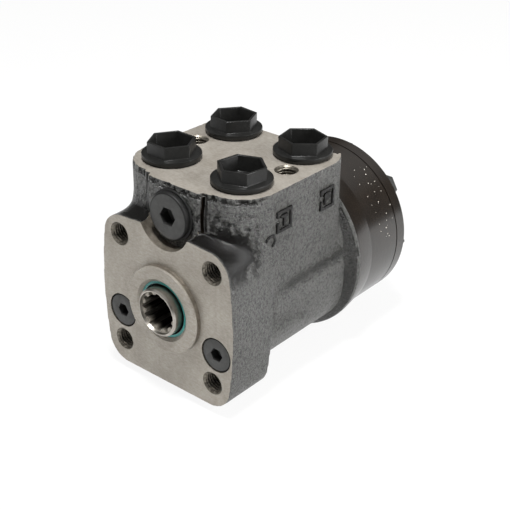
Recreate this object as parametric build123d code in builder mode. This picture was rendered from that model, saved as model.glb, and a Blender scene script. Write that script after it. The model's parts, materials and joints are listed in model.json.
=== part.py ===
from build123d import *
import os
from math import cos, degrees, hypot, pi, radians, sin

# Orbital steering unit: a splined spool valve in a cast housing, with a gear set behind it.
#
# Frame, in millimetres: the origin is the centre of the mounting flange's face, on the shaft axis. The face
# looks along -Y, the body reaches back along +Y, and the ports open along +Z.
# Cross sections are sketched on Plane.XZ (local x is X, local y is Z), and a negative extrusion runs to the
# rear. Turned pieces are half profiles of (radius, y) on Plane.XY, revolved about Axis.Y.

# ---- fits ---------------------------------------------------------------------------------------------
os.makedirs("parts", exist_ok=True)

running_fit = 0.05          # radial or axial clearance of a running pair
loose_fit = 0.15            # flank clearance of a driving pair
free_gap = 0.3              # room round a piece that only has to fit in

# ---- mounting flange ----------------------------------------------------------------------------------
flange_depth = 28.3
flange_half_width = 41.8
flange_side_bow = 3.9       # how far the sides fall back at their ends
flange_top = 40.5
flange_top_bow = 2.1
flange_bottom = 42.0
flange_corner = 12.5
stud_spacing = 58.3         # four M10 on a circle of 82.45
stud_thread_r = 5.0
stud_thread_depth = 18.0
stud_mouth = 0.6
spigot_r = 22.15
spigot_height = 3.0
spigot_edge = 0.7

# ---- port block ---------------------------------------------------------------------------------------
port_x = 21.66
port_front_y = 28.7
port_rear_y = 73.1
port_face_z = 61.0
boss_r = 18.5
block_foot_z = 8.0
pad_y = 6.5
pad_half_width = 16.0
rib_y = 9.0
rib_half_width = 20.4
rib_groove = 0.9
rib_foot_z = 42.5
port_thread_r = 10.4        # G 1/2
port_depth = 19.0
port_drill_r = 3.5
port_drill_x = 17.0
port_drill_shift = 5.0      # each port's drill leans to its own groove
port_drill_reach = 40       # degrees round the bore at which the drills break into it
sketch_gap = 0.01           # keeps a rounded end from closing on itself
face_thread_x = 27.8        # pair of M10 between the ports
face_thread_y = 53.0
face_thread_depth = 16.0

# ---- body and rear collar -----------------------------------------------------------------------------
body_front_y = 14.0         # inside the flange
body_r = 43.2
body_side_flat = 3.8        # how much the flats take off the round
body_bottom_flat = 2.2
body_blend = 18.0
collar_root = 8.0           # how far inside the body the flare begins
collar_y = 86.5
collar_flare = 2.3
collar_r = 46.6
collar_land = 4.2
collar_rear_r = 44.8
housing_rear_y = 104.3

# ---- bore, seals and bearing --------------------------------------------------------------------------
bore_r = 18.0
groove_r = 21.5
groove_width = 5.0
motor_groove_y = 54.0
nose_r = 12.1
nose_front_y = -6.4
nose_edge = 0.8
dust_seal_r = 14.3
dust_seal_mouth_r = 15.9
dust_seal_mouth = 1.5
dust_seal_rear_y = 1.6
seal_rib = 1.0
seal_rib_r = 13.0
shaft_seal_r = 15.6
shaft_seal_width = 3.4
race_thickness = 1.5
needle_r = 1.0
needle_count = 18
needle_length = 3.2
needle_circle_r = 15.1
seal_lip_gap = 0.1
dust_seal_lip = 1.4
cage_share = 0.65          # cage thickness against needle diameter

# ---- spool and sleeve ---------------------------------------------------------------------------------
spool_r = 13.5
spool_rear_gap = 4.0
sleeve_end_gap = 0.1
spline_teeth = 12
spline_tip_share = 0.36     # of the pitch, at the outer radius
spline_root_share = 0.36    # of the pitch, at the inner radius
spline_major_r = 10.3
spline_minor_r = 8.8
spline_mouth_r = 10.8
spline_mouth = 1.5
spline_end_y = 14.0
cardan_bore_r = 10.6
cardan_bore_y = 26.0
turn_limit = 10.0           # spool against sleeve, degrees each way
spring_slot_y = 17.0
spring_slot_height = 7.5
spring_slot_width = 4.6
spring_leaf = 0.7
spring_bow = 0.7
spring_half_length = 16.8
spring_ring_wall = 0.8
spring_ring_lip = 1.0
cross_pin_r = 4.0
cross_pin_y = 61.5
cross_pin_inset = 0.5
spool_slot_count = 6
spool_slot_y = 72.0
spool_slot_depth = 1.2
spool_slot_r = 1.6
spool_slot_length = 12.0
feed_hole_r = 1.3
feed_hole_count = 4

# ---- gear set and rear plates -------------------------------------------------------------------------
barrel_r = 44.6
barrel_edge = 0.5
plate_thickness = 6.5
plate_bore_r = 12.0
gear_width = 16.4
cover_thickness = 7.9
cover_seam = 0.8
lobe_count = 7
lobe_circle_r = 30.5
lobe_r = 7.0
orbit_r = 2.9
tooth_fit = 0.12
rotor_arcs = 48             # that its outline is drawn with
first_bolt_angle = -11.15
bolt_circle_r = 33.6
bolt_r = 4.0
bolt_engagement = 14.0
bolt_head_flats = 13.0
bolt_head_height = 6.4
washer_r = 7.8
washer_thickness = 1.6
bolt_pin_r = 2.4
bolt_pin_length = 8.0
passage_circle_r = 25.5
passage_r = 2.2
o_ring_r = 40.0
o_ring_wire = 1.5

# ---- cardan shaft -------------------------------------------------------------------------------------
cardan_head_r = 9.4
cardan_head_front = 8.0
cardan_head_rear = 8.0
cardan_head_edge = 1.5
cardan_shank_r = 6.8
cardan_spline_length = 11.0
cardan_tip_r = 9.8
cardan_root_r = 8.2
cardan_crown = 3.2          # degrees that each half of the spline tapers by
fork_gap = 0.9              # room behind the cross pin when the shaft leans
cardan_spacer_r = 7.0
cardan_spacer_thickness = 1.6

# ---- relief valve, in the front of the block ----------------------------------------------------------
relief_z = 46.4
relief_notch_r = 15.8
relief_head_r = 11.5
relief_head_y = 2.8
relief_head_edge = 0.5
relief_washer_r = 12.5
relief_washer_thickness = 1.2
relief_thread_r = 8.2
relief_thread_length = 12.0
relief_socket_flats = 8.0
relief_socket_depth = 5.0
relief_cup_r = 5.0
relief_cup_depth = 7.0
relief_bore_r = 5.4
relief_seat_y = 42.0
relief_seat_length = 6.0
relief_seat_hole_r = 2.2
relief_drain_r = 1.8
poppet_r = 4.2
poppet_length = 9.0
poppet_nose_length = 3.0
poppet_neck_r = 2.2
poppet_neck_length = 3.0
poppet_travel = 2.0
relief_spring_r = 3.3
relief_spring_wire = 1.2
relief_spring_turns = 5

# ---- shock valves, in the flange face -----------------------------------------------------------------
shock_right_x = 31.4
shock_left_x = -29.4
shock_z = -12.75
shock_head_r = 8.2
shock_recess_r = 8.7
shock_head_y = 0.3
shock_recess_depth = 4.0
shock_seal_wire = 0.9
shock_thread_r = 5.8
shock_thread_length = 9.0
shock_socket_flats = 6.0
shock_socket_depth = 4.0
shock_cup_r = 3.2
shock_cup_depth = 3.0
shock_bore_r = 4.2
shock_seat_y = 34.0
shock_seat_length = 5.0
shock_seat_hole_r = 1.6
shock_ball_r = 2.6
shock_ball_travel = 1.5
shock_spring_r = 2.2
shock_spring_wire = 0.8
shock_spring_turns = 5

# ---- check valve, in the floor of the rear right port -------------------------------------------------
check_x = 25.0
check_y = 70.6
check_bore_r = 4.4
check_bore_floor_z = 29.0
check_bush_length = 4.8
check_bush_hole_r = 1.6
check_ball_r = 3.2
check_ball_travel = 1.5
check_drain_r = 1.4

# ---- port caps ----------------------------------------------------------------------------------------
cap_flange_r = 14.3
cap_flange_thickness = 1.9
cap_step_r = 13.7
cap_step_thickness = 1.1
cap_hex_corner_r = 11.85
cap_hex_height = 6.1
cap_wall = 1.3
cap_floor = 1.4
cap_stem_length = 9.0
cap_turn_angles = {
    "front_left": 58.2,
    "front_right": 20.9,
    "rear_left": 53.6,
    "rear_right": 41.2,
}

# ---- sizes that follow from the ones above ------------------------------------------------------------
shaft_seal_front_y = dust_seal_rear_y + seal_rib
shaft_seal_rear_y = shaft_seal_front_y + shaft_seal_width
bearing_front_y = shaft_seal_rear_y + seal_rib
cage_front_y = bearing_front_y + race_thickness + running_fit
cage_rear_y = cage_front_y + 2 * needle_r
cage_middle_y = cage_front_y + needle_r
rear_race_y = cage_rear_y + running_fit
sleeve_front_y = rear_race_y + race_thickness
race_bore_r = nose_r + free_gap
race_r = bore_r - free_gap
sleeve_r = bore_r - running_fit
sleeve_bore_r = spool_r + running_fit
spool_rear_y = housing_rear_y - spool_rear_gap
spool_hole_r = cross_pin_r + sleeve_bore_r * sin(radians(turn_limit)) + free_gap
gear_front_y = housing_rear_y + plate_thickness
gear_rear_y = gear_front_y + gear_width
gear_middle_y = (gear_front_y + gear_rear_y) / 2
cover_rear_y = gear_rear_y + cover_thickness
bolt_thread_y = housing_rear_y - bolt_engagement
bolt_angles = [first_bolt_angle + turn * 360 / lobe_count for turn in range(lobe_count)]
plain_bolt_angles = bolt_angles[:-1]
pin_bolt_angle = bolt_angles[-1]
bolt_pin_end_y = bolt_thread_y - bolt_pin_length
passage_angles = [angle + 180 / lobe_count for angle in bolt_angles]
orbit_angle = lobe_count * first_bolt_angle      # where the rotor's centre stands at rest
rotor_x = orbit_r * cos(radians(orbit_angle))
rotor_z = orbit_r * sin(radians(orbit_angle))
lobe_root_r = lobe_circle_r - lobe_r + 2 * orbit_r + tooth_fit
cardan_length = gear_middle_y - cross_pin_y
port_places = {
    "front_left": (-port_x, port_front_y),
    "front_right": (port_x, port_front_y),
    "rear_left": (-port_x, port_rear_y),
    "rear_right": (port_x, port_rear_y),
}
port_drills = [
    (-port_drill_x, port_front_y + port_drill_shift),
    (port_drill_x, port_front_y - port_drill_shift),
    (-port_drill_x, port_rear_y - port_drill_shift),
    (port_drill_x, port_rear_y + port_drill_shift),
]
port_grooves_y = [y for x, y in port_drills]
port_floor_z = port_face_z - port_depth
shock_places = {"right": (shock_right_x, shock_z), "left": (shock_left_x, shock_z)}


def section(y):
    """Cross section plane at a distance behind the flange face."""
    return Plane.XZ.offset(-y)


def on_circle(radius, angles):
    """Points of a circle, at angles from +X towards the plane's second axis."""
    return [(radius * cos(radians(angle)), radius * sin(radians(angle))) for angle in angles]


def spline_outline(tip_r, root_r, spread=0.0):
    """Corner points of a straight-sided spline with a tooth on local x; spread widens its teeth, in mm."""
    pitch = 360 / spline_teeth
    widening = degrees(spread / tip_r)
    half_tip = pitch * spline_tip_share / 2 + widening
    half_root = pitch * spline_root_share / 2 - widening
    points = []
    for tooth in range(spline_teeth):
        middle = tooth * pitch
        gap_middle = middle + pitch / 2
        points += on_circle(tip_r, [middle - half_tip, middle + half_tip])
        points += on_circle(root_r, [gap_middle - half_root, gap_middle + half_root])
    return points


def rotor_outline():
    """Six-toothed rotor: the path of the lobe centres past it, moved inwards by the lobe radius."""
    points = []
    for step in range(2 * rotor_arcs):
        turn = pi * step / rotor_arcs
        path_x = lobe_circle_r * cos(turn) - orbit_r * cos(lobe_count * turn)
        path_y = lobe_circle_r * sin(turn) - orbit_r * sin(lobe_count * turn)
        slope_x = -lobe_circle_r * sin(turn) + lobe_count * orbit_r * sin(lobe_count * turn)
        slope_y = lobe_circle_r * cos(turn) - lobe_count * orbit_r * cos(lobe_count * turn)
        inwards = (lobe_r + tooth_fit) / hypot(slope_x, slope_y)
        points.append((path_x - slope_y * inwards, path_y + slope_x * inwards))
    return points


def steps(places, rows, mode=Mode.ADD):
    """Round steps along Y at each place; a row is (front y, radius, rear y)."""
    for front_y, radius, rear_y in rows:
        with BuildSketch(section(front_y)) as discs:
            with Locations(*places):
                Circle(radius)
        extrude(discs.sketch, amount=front_y - rear_y, mode=mode)


def turned(profile, mode=Mode.ADD):
    """Solid of revolution about Axis.Y from (radius, y) corner points."""
    with BuildSketch(Plane.XY) as half:
        with BuildLine():
            Polyline(*profile, close=True)
        make_face()
    revolve(half.sketch, axis=Axis.Y, mode=mode)


def ring(inner_r, outer_r, front_y, rear_y):
    """Plain ring or washer on the shaft axis."""
    turned([(inner_r, front_y), (outer_r, front_y), (outer_r, rear_y), (inner_r, rear_y)])


def o_ring(middle_y):
    """Round-section seal ring on the shaft axis."""
    with BuildPart() as seal:
        with BuildSketch(Plane.XY):
            with Locations((o_ring_r, middle_y)):
                RegularPolygon(o_ring_wire / 2, 8)
        revolve(axis=Axis.Y)
    return seal


def o_ring_groove(open_y, depth):
    """Groove for an O-ring in a flat face at open_y; a negative depth cuts towards the rear."""
    with BuildSketch(section(open_y)) as groove:
        Circle(o_ring_r + o_ring_wire / 2)
        Circle(o_ring_r - o_ring_wire / 2, mode=Mode.SUBTRACT)
    extrude(groove.sketch, amount=depth, mode=Mode.SUBTRACT)


def round_holes(front_y, rear_y, circle_r, angles, hole_r):
    """Round holes along Y, on a circle about the shaft axis."""
    steps(on_circle(circle_r, angles), [(front_y, hole_r, rear_y)], Mode.SUBTRACT)


def coil(radius, wire, turns, start, length, direction):
    """Round-wire compression spring with its axis from start along direction."""
    pitch = (length - wire) / turns
    with BuildPart() as spring:
        with BuildLine():
            path = Helix(pitch, length - wire, radius, center=start, direction=direction)
        with BuildSketch(Plane(origin=path @ 0, z_dir=path % 0)):
            RegularPolygon(wire / 2, 6)
        sweep(path=path, is_frenet=True)
    return spring


# ---- housing ------------------------------------------------------------------------------------------
with BuildPart() as housing:
    # mounting flange, with slightly bowed sides and top
    with BuildSketch(section(0)):
        with BuildLine():
            corner_x = flange_half_width - flange_side_bow
            corner_z = flange_top - flange_top_bow
            Line((-corner_x, -flange_bottom), (corner_x, -flange_bottom))
            ThreePointArc((corner_x, -flange_bottom), (flange_half_width, 0), (corner_x, corner_z))
            ThreePointArc((corner_x, corner_z), (0, flange_top), (-corner_x, corner_z))
            ThreePointArc((-corner_x, corner_z), (-flange_half_width, 0), (-corner_x, -flange_bottom))
        flange_face = make_face()
        fillet(flange_face.vertices(), flange_corner)
    extrude(amount=-flange_depth)

    # round body with flattened sides and bottom
    with BuildSketch(section(body_front_y)):
        Circle(body_r)
        with Locations((0, body_bottom_flat / 2)):
            Rectangle(2 * (body_r - body_side_flat), 2 * body_r - body_bottom_flat, mode=Mode.INTERSECT)
        fillet(vertices(), body_blend)
    extrude(amount=body_front_y - collar_y)

    # port block: its corners are round about the ports
    with BuildSketch(Plane.XY.offset(block_foot_z)):
        with Locations((0, (port_front_y + port_rear_y) / 2)):
            RectangleRounded(
                2 * (port_x + boss_r),
                port_rear_y - port_front_y + 2 * boss_r,
                boss_r - sketch_gap,
            )
    extrude(amount=port_face_z - block_foot_z)

    # pad that carries the relief valve, and the narrow rib on each side of it
    with BuildSketch(section(pad_y)):
        with Locations((0, (flange_top + port_face_z) / 2)):
            Rectangle(2 * pad_half_width, port_face_z - flange_top)
    extrude(amount=pad_y - port_front_y)
    with BuildSketch(section(rib_y)):
        with Locations((0, (rib_foot_z + port_face_z) / 2)):
            Rectangle(2 * rib_half_width, port_face_z - rib_foot_z)
    extrude(amount=rib_y - port_front_y)
    with BuildSketch(section(rib_y)):
        with Locations((0, (rib_foot_z + port_face_z) / 2)):
            with GridLocations(2 * pad_half_width + rib_groove, 1, 2, 1):
                Rectangle(rib_groove, port_face_z - rib_foot_z)
    extrude(amount=-rib_groove, mode=Mode.SUBTRACT)

    # rear collar flares out of the body and tapers to the barrel
    with BuildSketch(Plane.XY):
        with BuildLine():
            collar_front_y = collar_y + collar_flare
            Polyline(
                (0, collar_y - collar_root),
                (body_r - collar_root, collar_y - collar_root),
                (body_r, collar_y),
                (collar_r, collar_front_y),
                (collar_r, collar_front_y + collar_land),
                (collar_rear_r, housing_rear_y),
                (0, housing_rear_y),
                close=True,
            )
        collar_face = make_face()
        flare_points = collar_face.vertices().filter_by(lambda point: point.Y in (collar_y, collar_front_y))
        fillet(flare_points, collar_flare / 2)
    revolve(axis=Axis.Y)

    # spigot that centres the unit on its bracket
    with BuildSketch(section(-spigot_height)):
        Circle(spigot_r)
    extrude(amount=-spigot_height - pad_y)
    chamfer(faces().sort_by(Axis.Y)[0].edges(), spigot_edge)

    # bore, with the seats of the seals and the bearing in front of it
    turned(
        [
            (0, -spigot_height),
            (dust_seal_mouth_r, -spigot_height),
            (dust_seal_r, dust_seal_mouth - spigot_height),
            (dust_seal_r, dust_seal_rear_y),
            (seal_rib_r, dust_seal_rear_y),
            (seal_rib_r, shaft_seal_front_y),
            (shaft_seal_r, shaft_seal_front_y),
            (shaft_seal_r, shaft_seal_rear_y),
            (seal_rib_r, shaft_seal_rear_y),
            (seal_rib_r, bearing_front_y),
            (bore_r, bearing_front_y),
            (bore_r, housing_rear_y),
            (0, housing_rear_y),
        ],
        Mode.SUBTRACT,
    )

    # ring grooves of the four ports, and of the lines to the gear set
    groove_rows = [
        (middle_y - groove_width / 2, groove_r, middle_y + groove_width / 2)
        for middle_y in port_grooves_y + [motor_groove_y]
    ]
    steps([(0, 0)], groove_rows, Mode.SUBTRACT)

    # ports, each with a drill down to its own groove
    with BuildSketch(Plane.XY.offset(port_face_z)):
        with Locations(*port_places.values()):
            Circle(port_thread_r)
    extrude(amount=-port_depth, mode=Mode.SUBTRACT)
    drill_depth = port_floor_z - bore_r * sin(radians(port_drill_reach))
    with BuildSketch(Plane.XY.offset(port_floor_z)):
        with Locations(*port_drills):
            Circle(port_drill_r)
    extrude(amount=-drill_depth, mode=Mode.SUBTRACT)

    # tapped holes of the port face and of the flange, at the thread's outer radius
    with Locations(Plane.XY.offset(port_face_z)):
        with Locations((-face_thread_x, face_thread_y), (face_thread_x, face_thread_y)):
            Hole(stud_thread_r, face_thread_depth)
    with Locations(section(0)):
        with GridLocations(stud_spacing, stud_spacing, 2, 2):
            Hole(stud_thread_r, stud_thread_depth)

    # seat of the relief valve: notch in the flange, thread, guide bore, valve seat and drain
    relief_thread_rear_y = pad_y + relief_thread_length + free_gap
    relief_steps = [
        (0, relief_notch_r, pad_y),
        (pad_y, relief_thread_r, relief_thread_rear_y),
        (relief_thread_rear_y, relief_bore_r, relief_seat_y + relief_seat_length),
        (relief_seat_y, relief_drain_r, port_rear_y),
    ]
    steps([(0, relief_z)], relief_steps, Mode.SUBTRACT)

    # seats of the two shock valves
    shock_thread_rear_y = shock_recess_depth + shock_thread_length + free_gap
    shock_steps = [
        (0, shock_recess_r, shock_recess_depth),
        (shock_recess_depth, shock_thread_r, shock_thread_rear_y),
        (shock_thread_rear_y, shock_bore_r, shock_seat_y + shock_seat_length),
        (shock_seat_y, shock_seat_hole_r, motor_groove_y),
    ]
    steps(shock_places.values(), shock_steps, Mode.SUBTRACT)

    # check valve well in the floor of the rear right port
    with BuildSketch(Plane.XY.offset(port_floor_z)):
        with Locations((check_x, check_y)):
            Circle(check_bore_r)
    extrude(amount=check_bore_floor_z - port_floor_z, mode=Mode.SUBTRACT)
    with BuildSketch(Plane.XY.offset(check_bore_floor_z)):
        with Locations((check_x, check_y)):
            Circle(check_drain_r)
    extrude(amount=-groove_width, mode=Mode.SUBTRACT)

    # rear face: bolt threads, the pin bolt's deeper hole, passages to the gear set, O-ring groove
    round_holes(bolt_thread_y, housing_rear_y, bolt_circle_r, bolt_angles, bolt_r)
    round_holes(bolt_pin_end_y, bolt_thread_y, bolt_circle_r, [pin_bolt_angle], bolt_pin_r)
    round_holes(motor_groove_y, housing_rear_y, passage_circle_r, passage_angles, passage_r)
    o_ring_groove(housing_rear_y, o_ring_wire)

# ---- seals and thrust bearing round the spool nose ----------------------------------------------------
seal_lip_r = nose_r + seal_lip_gap

with BuildPart() as dust_seal:
    turned(
        [
            (dust_seal_r, dust_seal_mouth - spigot_height + seal_lip_gap),
            (dust_seal_r - dust_seal_lip, dust_seal_mouth - spigot_height + seal_lip_gap),
            (seal_lip_r, 0),
            (seal_lip_r, dust_seal_rear_y - dust_seal_lip / 2),
            (seal_lip_r + dust_seal_lip / 2, dust_seal_rear_y),
            (dust_seal_r, dust_seal_rear_y),
        ]
    )

with BuildPart() as shaft_seal:
    seal_middle_r = (seal_lip_r + shaft_seal_r) / 2
    turned(
        [
            (seal_lip_r, shaft_seal_front_y + seal_lip_gap),
            (shaft_seal_r, shaft_seal_front_y + seal_lip_gap),
            (shaft_seal_r, shaft_seal_rear_y),
            (seal_middle_r + dust_seal_lip / 2, shaft_seal_rear_y),
            (seal_middle_r, shaft_seal_rear_y - shaft_seal_width / 2),
            (seal_middle_r - dust_seal_lip / 2, shaft_seal_rear_y),
            (seal_lip_r, shaft_seal_rear_y),
        ]
    )

with BuildPart() as bearing_race_front:
    ring(race_bore_r, race_r, bearing_front_y, bearing_front_y + race_thickness)

with BuildPart() as bearing_race_rear:
    ring(race_bore_r, race_r, rear_race_y, sleeve_front_y)

with BuildPart() as needle_cage:
    cage_half = needle_r * cage_share
    ring(race_bore_r + free_gap, race_r - free_gap, cage_middle_y - cage_half, cage_middle_y + cage_half)
    with BuildSketch(section(cage_middle_y - cage_half)):
        with PolarLocations(needle_circle_r, needle_count):
            Rectangle(needle_length + 2 * running_fit, 2 * (needle_r + running_fit))
    extrude(amount=-2 * cage_half, mode=Mode.SUBTRACT)

with BuildPart() as bearing_needles:
    for turn in range(needle_count):
        angle = radians(360 / needle_count * turn)
        outwards = Vector(cos(angle), 0, sin(angle))
        start = Vector(0, cage_middle_y, 0) + outwards * (needle_circle_r - needle_length / 2)
        with BuildSketch(Plane(origin=start, z_dir=outwards)):
            Circle(needle_r)
        extrude(amount=needle_length)

# ---- spool, sleeve and what joins them ----------------------------------------------------------------
with BuildPart() as control_spool:
    turned(
        [
            (spline_mouth_r, nose_front_y),
            (nose_r - nose_edge, nose_front_y),
            (nose_r, nose_front_y + nose_edge),
            (nose_r, sleeve_front_y + free_gap),
            (spool_r, sleeve_front_y + free_gap),
            (spool_r, spool_rear_y),
            (cardan_bore_r, spool_rear_y),
            (cardan_bore_r, cardan_bore_y),
            (0, cardan_bore_y),
            (0, spline_end_y),
            (spline_major_r, spline_end_y),
            (spline_major_r, nose_front_y + spline_mouth),
        ]
    )
    # teeth of the input spline stand inwards from its bore
    with BuildSketch(section(nose_front_y + spline_mouth)):
        Circle(spline_major_r + running_fit)
        with BuildLine():
            Polyline(*spline_outline(spline_major_r, spline_minor_r), close=True)
        make_face(mode=Mode.SUBTRACT)
    extrude(amount=nose_front_y + spline_mouth - spline_end_y)
    # window for the leaf springs and holes that let the cross pin swing
    with BuildSketch(Plane.YZ.offset(-spool_r)):
        with Locations((spring_slot_y + spring_slot_height / 2, 0)):
            Rectangle(spring_slot_height, spring_slot_width)
        with Locations((cross_pin_y, 0)):
            Circle(spool_hole_r)
    extrude(amount=2 * spool_r, mode=Mode.SUBTRACT)
    # lengthwise metering grooves
    for turn in range(spool_slot_count):
        angle = 360 / spool_slot_count * (turn + 0.5)
        outwards = Vector(cos(radians(angle)), 0, sin(radians(angle)))
        floor = Vector(0, spool_slot_y + spool_slot_length / 2, 0) + outwards * (spool_r - spool_slot_depth)
        with BuildSketch(Plane(origin=floor, x_dir=(0, 1, 0), z_dir=outwards)):
            Rectangle(spool_slot_length, 2 * spool_slot_r)
        extrude(amount=spool_slot_r, mode=Mode.SUBTRACT)

with BuildPart() as control_sleeve:
    ring_front_y = spring_slot_y - spring_ring_lip
    ring_rear_y = spring_slot_y + spring_slot_height + spring_ring_lip
    ring_seat_r = sleeve_r - spring_ring_wall
    turned(
        [
            (sleeve_bore_r, sleeve_front_y),
            (sleeve_r, sleeve_front_y),
            (sleeve_r, ring_front_y),
            (ring_seat_r, ring_front_y),
            (ring_seat_r, ring_rear_y),
            (sleeve_r, ring_rear_y),
            (sleeve_r, housing_rear_y - sleeve_end_gap),
            (sleeve_bore_r, housing_rear_y - sleeve_end_gap),
        ]
    )
    with BuildSketch(Plane.YZ.offset(-sleeve_r)):
        with Locations((spring_slot_y + spring_slot_height / 2, 0)):
            Rectangle(spring_slot_height, spring_slot_width)
        with Locations((cross_pin_y, 0)):
            Circle(cross_pin_r)
    extrude(amount=2 * sleeve_r, mode=Mode.SUBTRACT)
    # rows of feed holes, one to each groove of the housing behind the springs
    for row_y in sorted(port_grooves_y)[1:] + [motor_groove_y]:
        for turn in range(feed_hole_count):
            angle = radians(360 / feed_hole_count * (turn + 0.5))
            outwards = Vector(cos(angle), 0, sin(angle))
            with BuildSketch(Plane(origin=(0, row_y, 0), z_dir=outwards)):
                Circle(feed_hole_r)
            extrude(amount=bore_r, mode=Mode.SUBTRACT)

with BuildPart() as spring_ring:
    ring(ring_seat_r, sleeve_r, ring_front_y, ring_rear_y)

with BuildPart() as neutral_springs:
    # two flat leaves in the middle, and a bowed one on each side that bears on the slots with its ends
    with BuildSketch(section(spring_slot_y + running_fit)):
        for side in (-1, 1):
            with Locations((0, side * (spring_leaf + running_fit) / 2)):
                Rectangle(2 * spring_half_length, spring_leaf)
    extrude(amount=2 * running_fit - spring_slot_height)
    with BuildSketch(section(spring_slot_y + running_fit)):
        for side in (-1, 1):
            inner_z = side * (spring_leaf + 2 * running_fit)
            outer_z = inner_z + side * spring_leaf
            rise = side * spring_bow
            with BuildLine():
                ThreePointArc(
                    (-spring_half_length, inner_z + rise), (0, inner_z), (spring_half_length, inner_z + rise)
                )
                Line((spring_half_length, inner_z + rise), (spring_half_length, outer_z + rise))
                ThreePointArc(
                    (spring_half_length, outer_z + rise), (0, outer_z), (-spring_half_length, outer_z + rise)
                )
                Line((-spring_half_length, outer_z + rise), (-spring_half_length, inner_z + rise))
            make_face()
    extrude(amount=2 * running_fit - spring_slot_height)

with BuildPart() as cross_pin:
    with BuildSketch(Plane.YZ.offset(cross_pin_inset - sleeve_r)):
        with Locations((cross_pin_y, 0)):
            Circle(cross_pin_r)
    extrude(amount=2 * (sleeve_r - cross_pin_inset))
    chamfer(edges().filter_by(GeomType.CIRCLE), cross_pin_inset)

# ---- cardan shaft, leaning from the cross pin to the rotor's centre -----------------------------------
cardan_frame = Plane(
    origin=(0, cross_pin_y, 0),
    x_dir=(cardan_length, -rotor_x, 0),
    z_dir=(-rotor_x, -cardan_length, -rotor_z),
)
cardan_span = hypot(cardan_length, orbit_r)

with BuildPart() as cardan_shaft:
    with BuildSketch(cardan_frame.offset(cardan_head_front)):
        Circle(cardan_head_r)
    extrude(amount=-cardan_head_front - cardan_head_rear)
    chamfer(edges().filter_by(GeomType.CIRCLE), cardan_head_edge)
    with BuildSketch(cardan_frame):
        Circle(cardan_shank_r)
    extrude(amount=-cardan_span)
    # the spline is crowned, so that it can lean in the rotor
    for direction in (-1, 1):
        with BuildSketch(cardan_frame.offset(-cardan_span)):
            with BuildLine():
                Polyline(*spline_outline(cardan_tip_r, cardan_root_r), close=True)
            make_face()
        extrude(amount=direction * cardan_spline_length / 2, taper=cardan_crown)
    # fork that takes the cross pin
    with BuildSketch(cardan_frame.offset(cardan_head_front)):
        Rectangle(2 * cardan_head_r, 2 * (cross_pin_r + loose_fit))
    extrude(amount=-cardan_head_front - cross_pin_r - fork_gap, mode=Mode.SUBTRACT)

with BuildPart() as cardan_spacer:
    spacer_rear_y = gear_rear_y - running_fit
    steps([(rotor_x, rotor_z)], [(spacer_rear_y - cardan_spacer_thickness, cardan_spacer_r, spacer_rear_y)])

# ---- distributor plate, gear set and end cover --------------------------------------------------------
with BuildPart() as distributor_plate:
    ring(plate_bore_r, barrel_r, housing_rear_y, gear_front_y)
    round_holes(housing_rear_y, gear_front_y, bolt_circle_r, bolt_angles, bolt_r + free_gap)
    round_holes(housing_rear_y, gear_front_y, passage_circle_r, passage_angles, passage_r)
    o_ring_groove(gear_front_y, o_ring_wire)

with BuildPart() as gear_ring:
    with BuildSketch(section(gear_front_y)):
        Circle(barrel_r)
        Circle(lobe_root_r, mode=Mode.SUBTRACT)
        with Locations(*on_circle(lobe_circle_r, bolt_angles)):
            Circle(lobe_r)
        with Locations(*on_circle(bolt_circle_r, bolt_angles)):
            Circle(bolt_r + free_gap, mode=Mode.SUBTRACT)
    extrude(amount=-gear_width)

with BuildPart() as gear_rotor:
    rotor_front_y = gear_front_y + running_fit
    rotor_plane = Plane(origin=(rotor_x, rotor_front_y, rotor_z), x_dir=(1, 0, 0), z_dir=(0, -1, 0))
    hub_fit = [cardan_tip_r + loose_fit, cardan_root_r + loose_fit, loose_fit]
    outline = rotor_outline()
    with BuildSketch(rotor_plane):
        with BuildLine():
            for start, middle, end in zip(outline[::2], outline[1::2], outline[2::2] + outline[:1]):
                ThreePointArc(start, middle, end)
        make_face()
    extrude(amount=2 * running_fit - gear_width)
    # hub spline that the cardan shaft drives
    with BuildSketch(rotor_plane):
        with BuildLine():
            Polyline(*spline_outline(*hub_fit), close=True)
        make_face()
    extrude(amount=2 * running_fit - gear_width, mode=Mode.SUBTRACT)

with BuildPart() as end_cover:
    turned(
        [
            (0, gear_rear_y),
            (barrel_r - barrel_edge, gear_rear_y),
            (barrel_r - barrel_edge, gear_rear_y + cover_seam),
            (barrel_r, gear_rear_y + cover_seam),
            (barrel_r, cover_rear_y - barrel_edge),
            (barrel_r - barrel_edge, cover_rear_y),
            (0, cover_rear_y),
        ]
    )
    round_holes(gear_rear_y, cover_rear_y, bolt_circle_r, bolt_angles, bolt_r + free_gap)
    o_ring_groove(gear_rear_y, -o_ring_wire)

o_ring_housing = o_ring(housing_rear_y - o_ring_wire / 2)
o_ring_plate = o_ring(gear_front_y - o_ring_wire / 2)
o_ring_cover = o_ring(gear_rear_y + o_ring_wire / 2)

# ---- cover bolts --------------------------------------------------------------------------------------
head_y = cover_rear_y + washer_thickness


def cover_bolt_group(angles):
    """Hexagon head bolts through the cover, the gear ring and the plate into the housing."""
    with BuildPart() as bolts:
        steps(on_circle(bolt_circle_r, angles), [(bolt_thread_y, bolt_r, head_y)])
        with BuildSketch(section(head_y)):
            with Locations(*on_circle(bolt_circle_r, angles)):
                RegularPolygon(bolt_head_flats / 2, 6, major_radius=False)
        extrude(amount=-bolt_head_height)
    return bolts


cover_bolts = cover_bolt_group(plain_bolt_angles)
with BuildPart() as pin_bolt:
    add(cover_bolt_group([pin_bolt_angle]).part)
    steps(on_circle(bolt_circle_r, [pin_bolt_angle]), [(bolt_pin_end_y, bolt_pin_r, bolt_thread_y)])

with BuildPart() as bolt_washers:
    steps(on_circle(bolt_circle_r, bolt_angles), [(cover_rear_y, washer_r, head_y)])
    round_holes(cover_rear_y, head_y, bolt_circle_r, bolt_angles, bolt_r)

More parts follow.
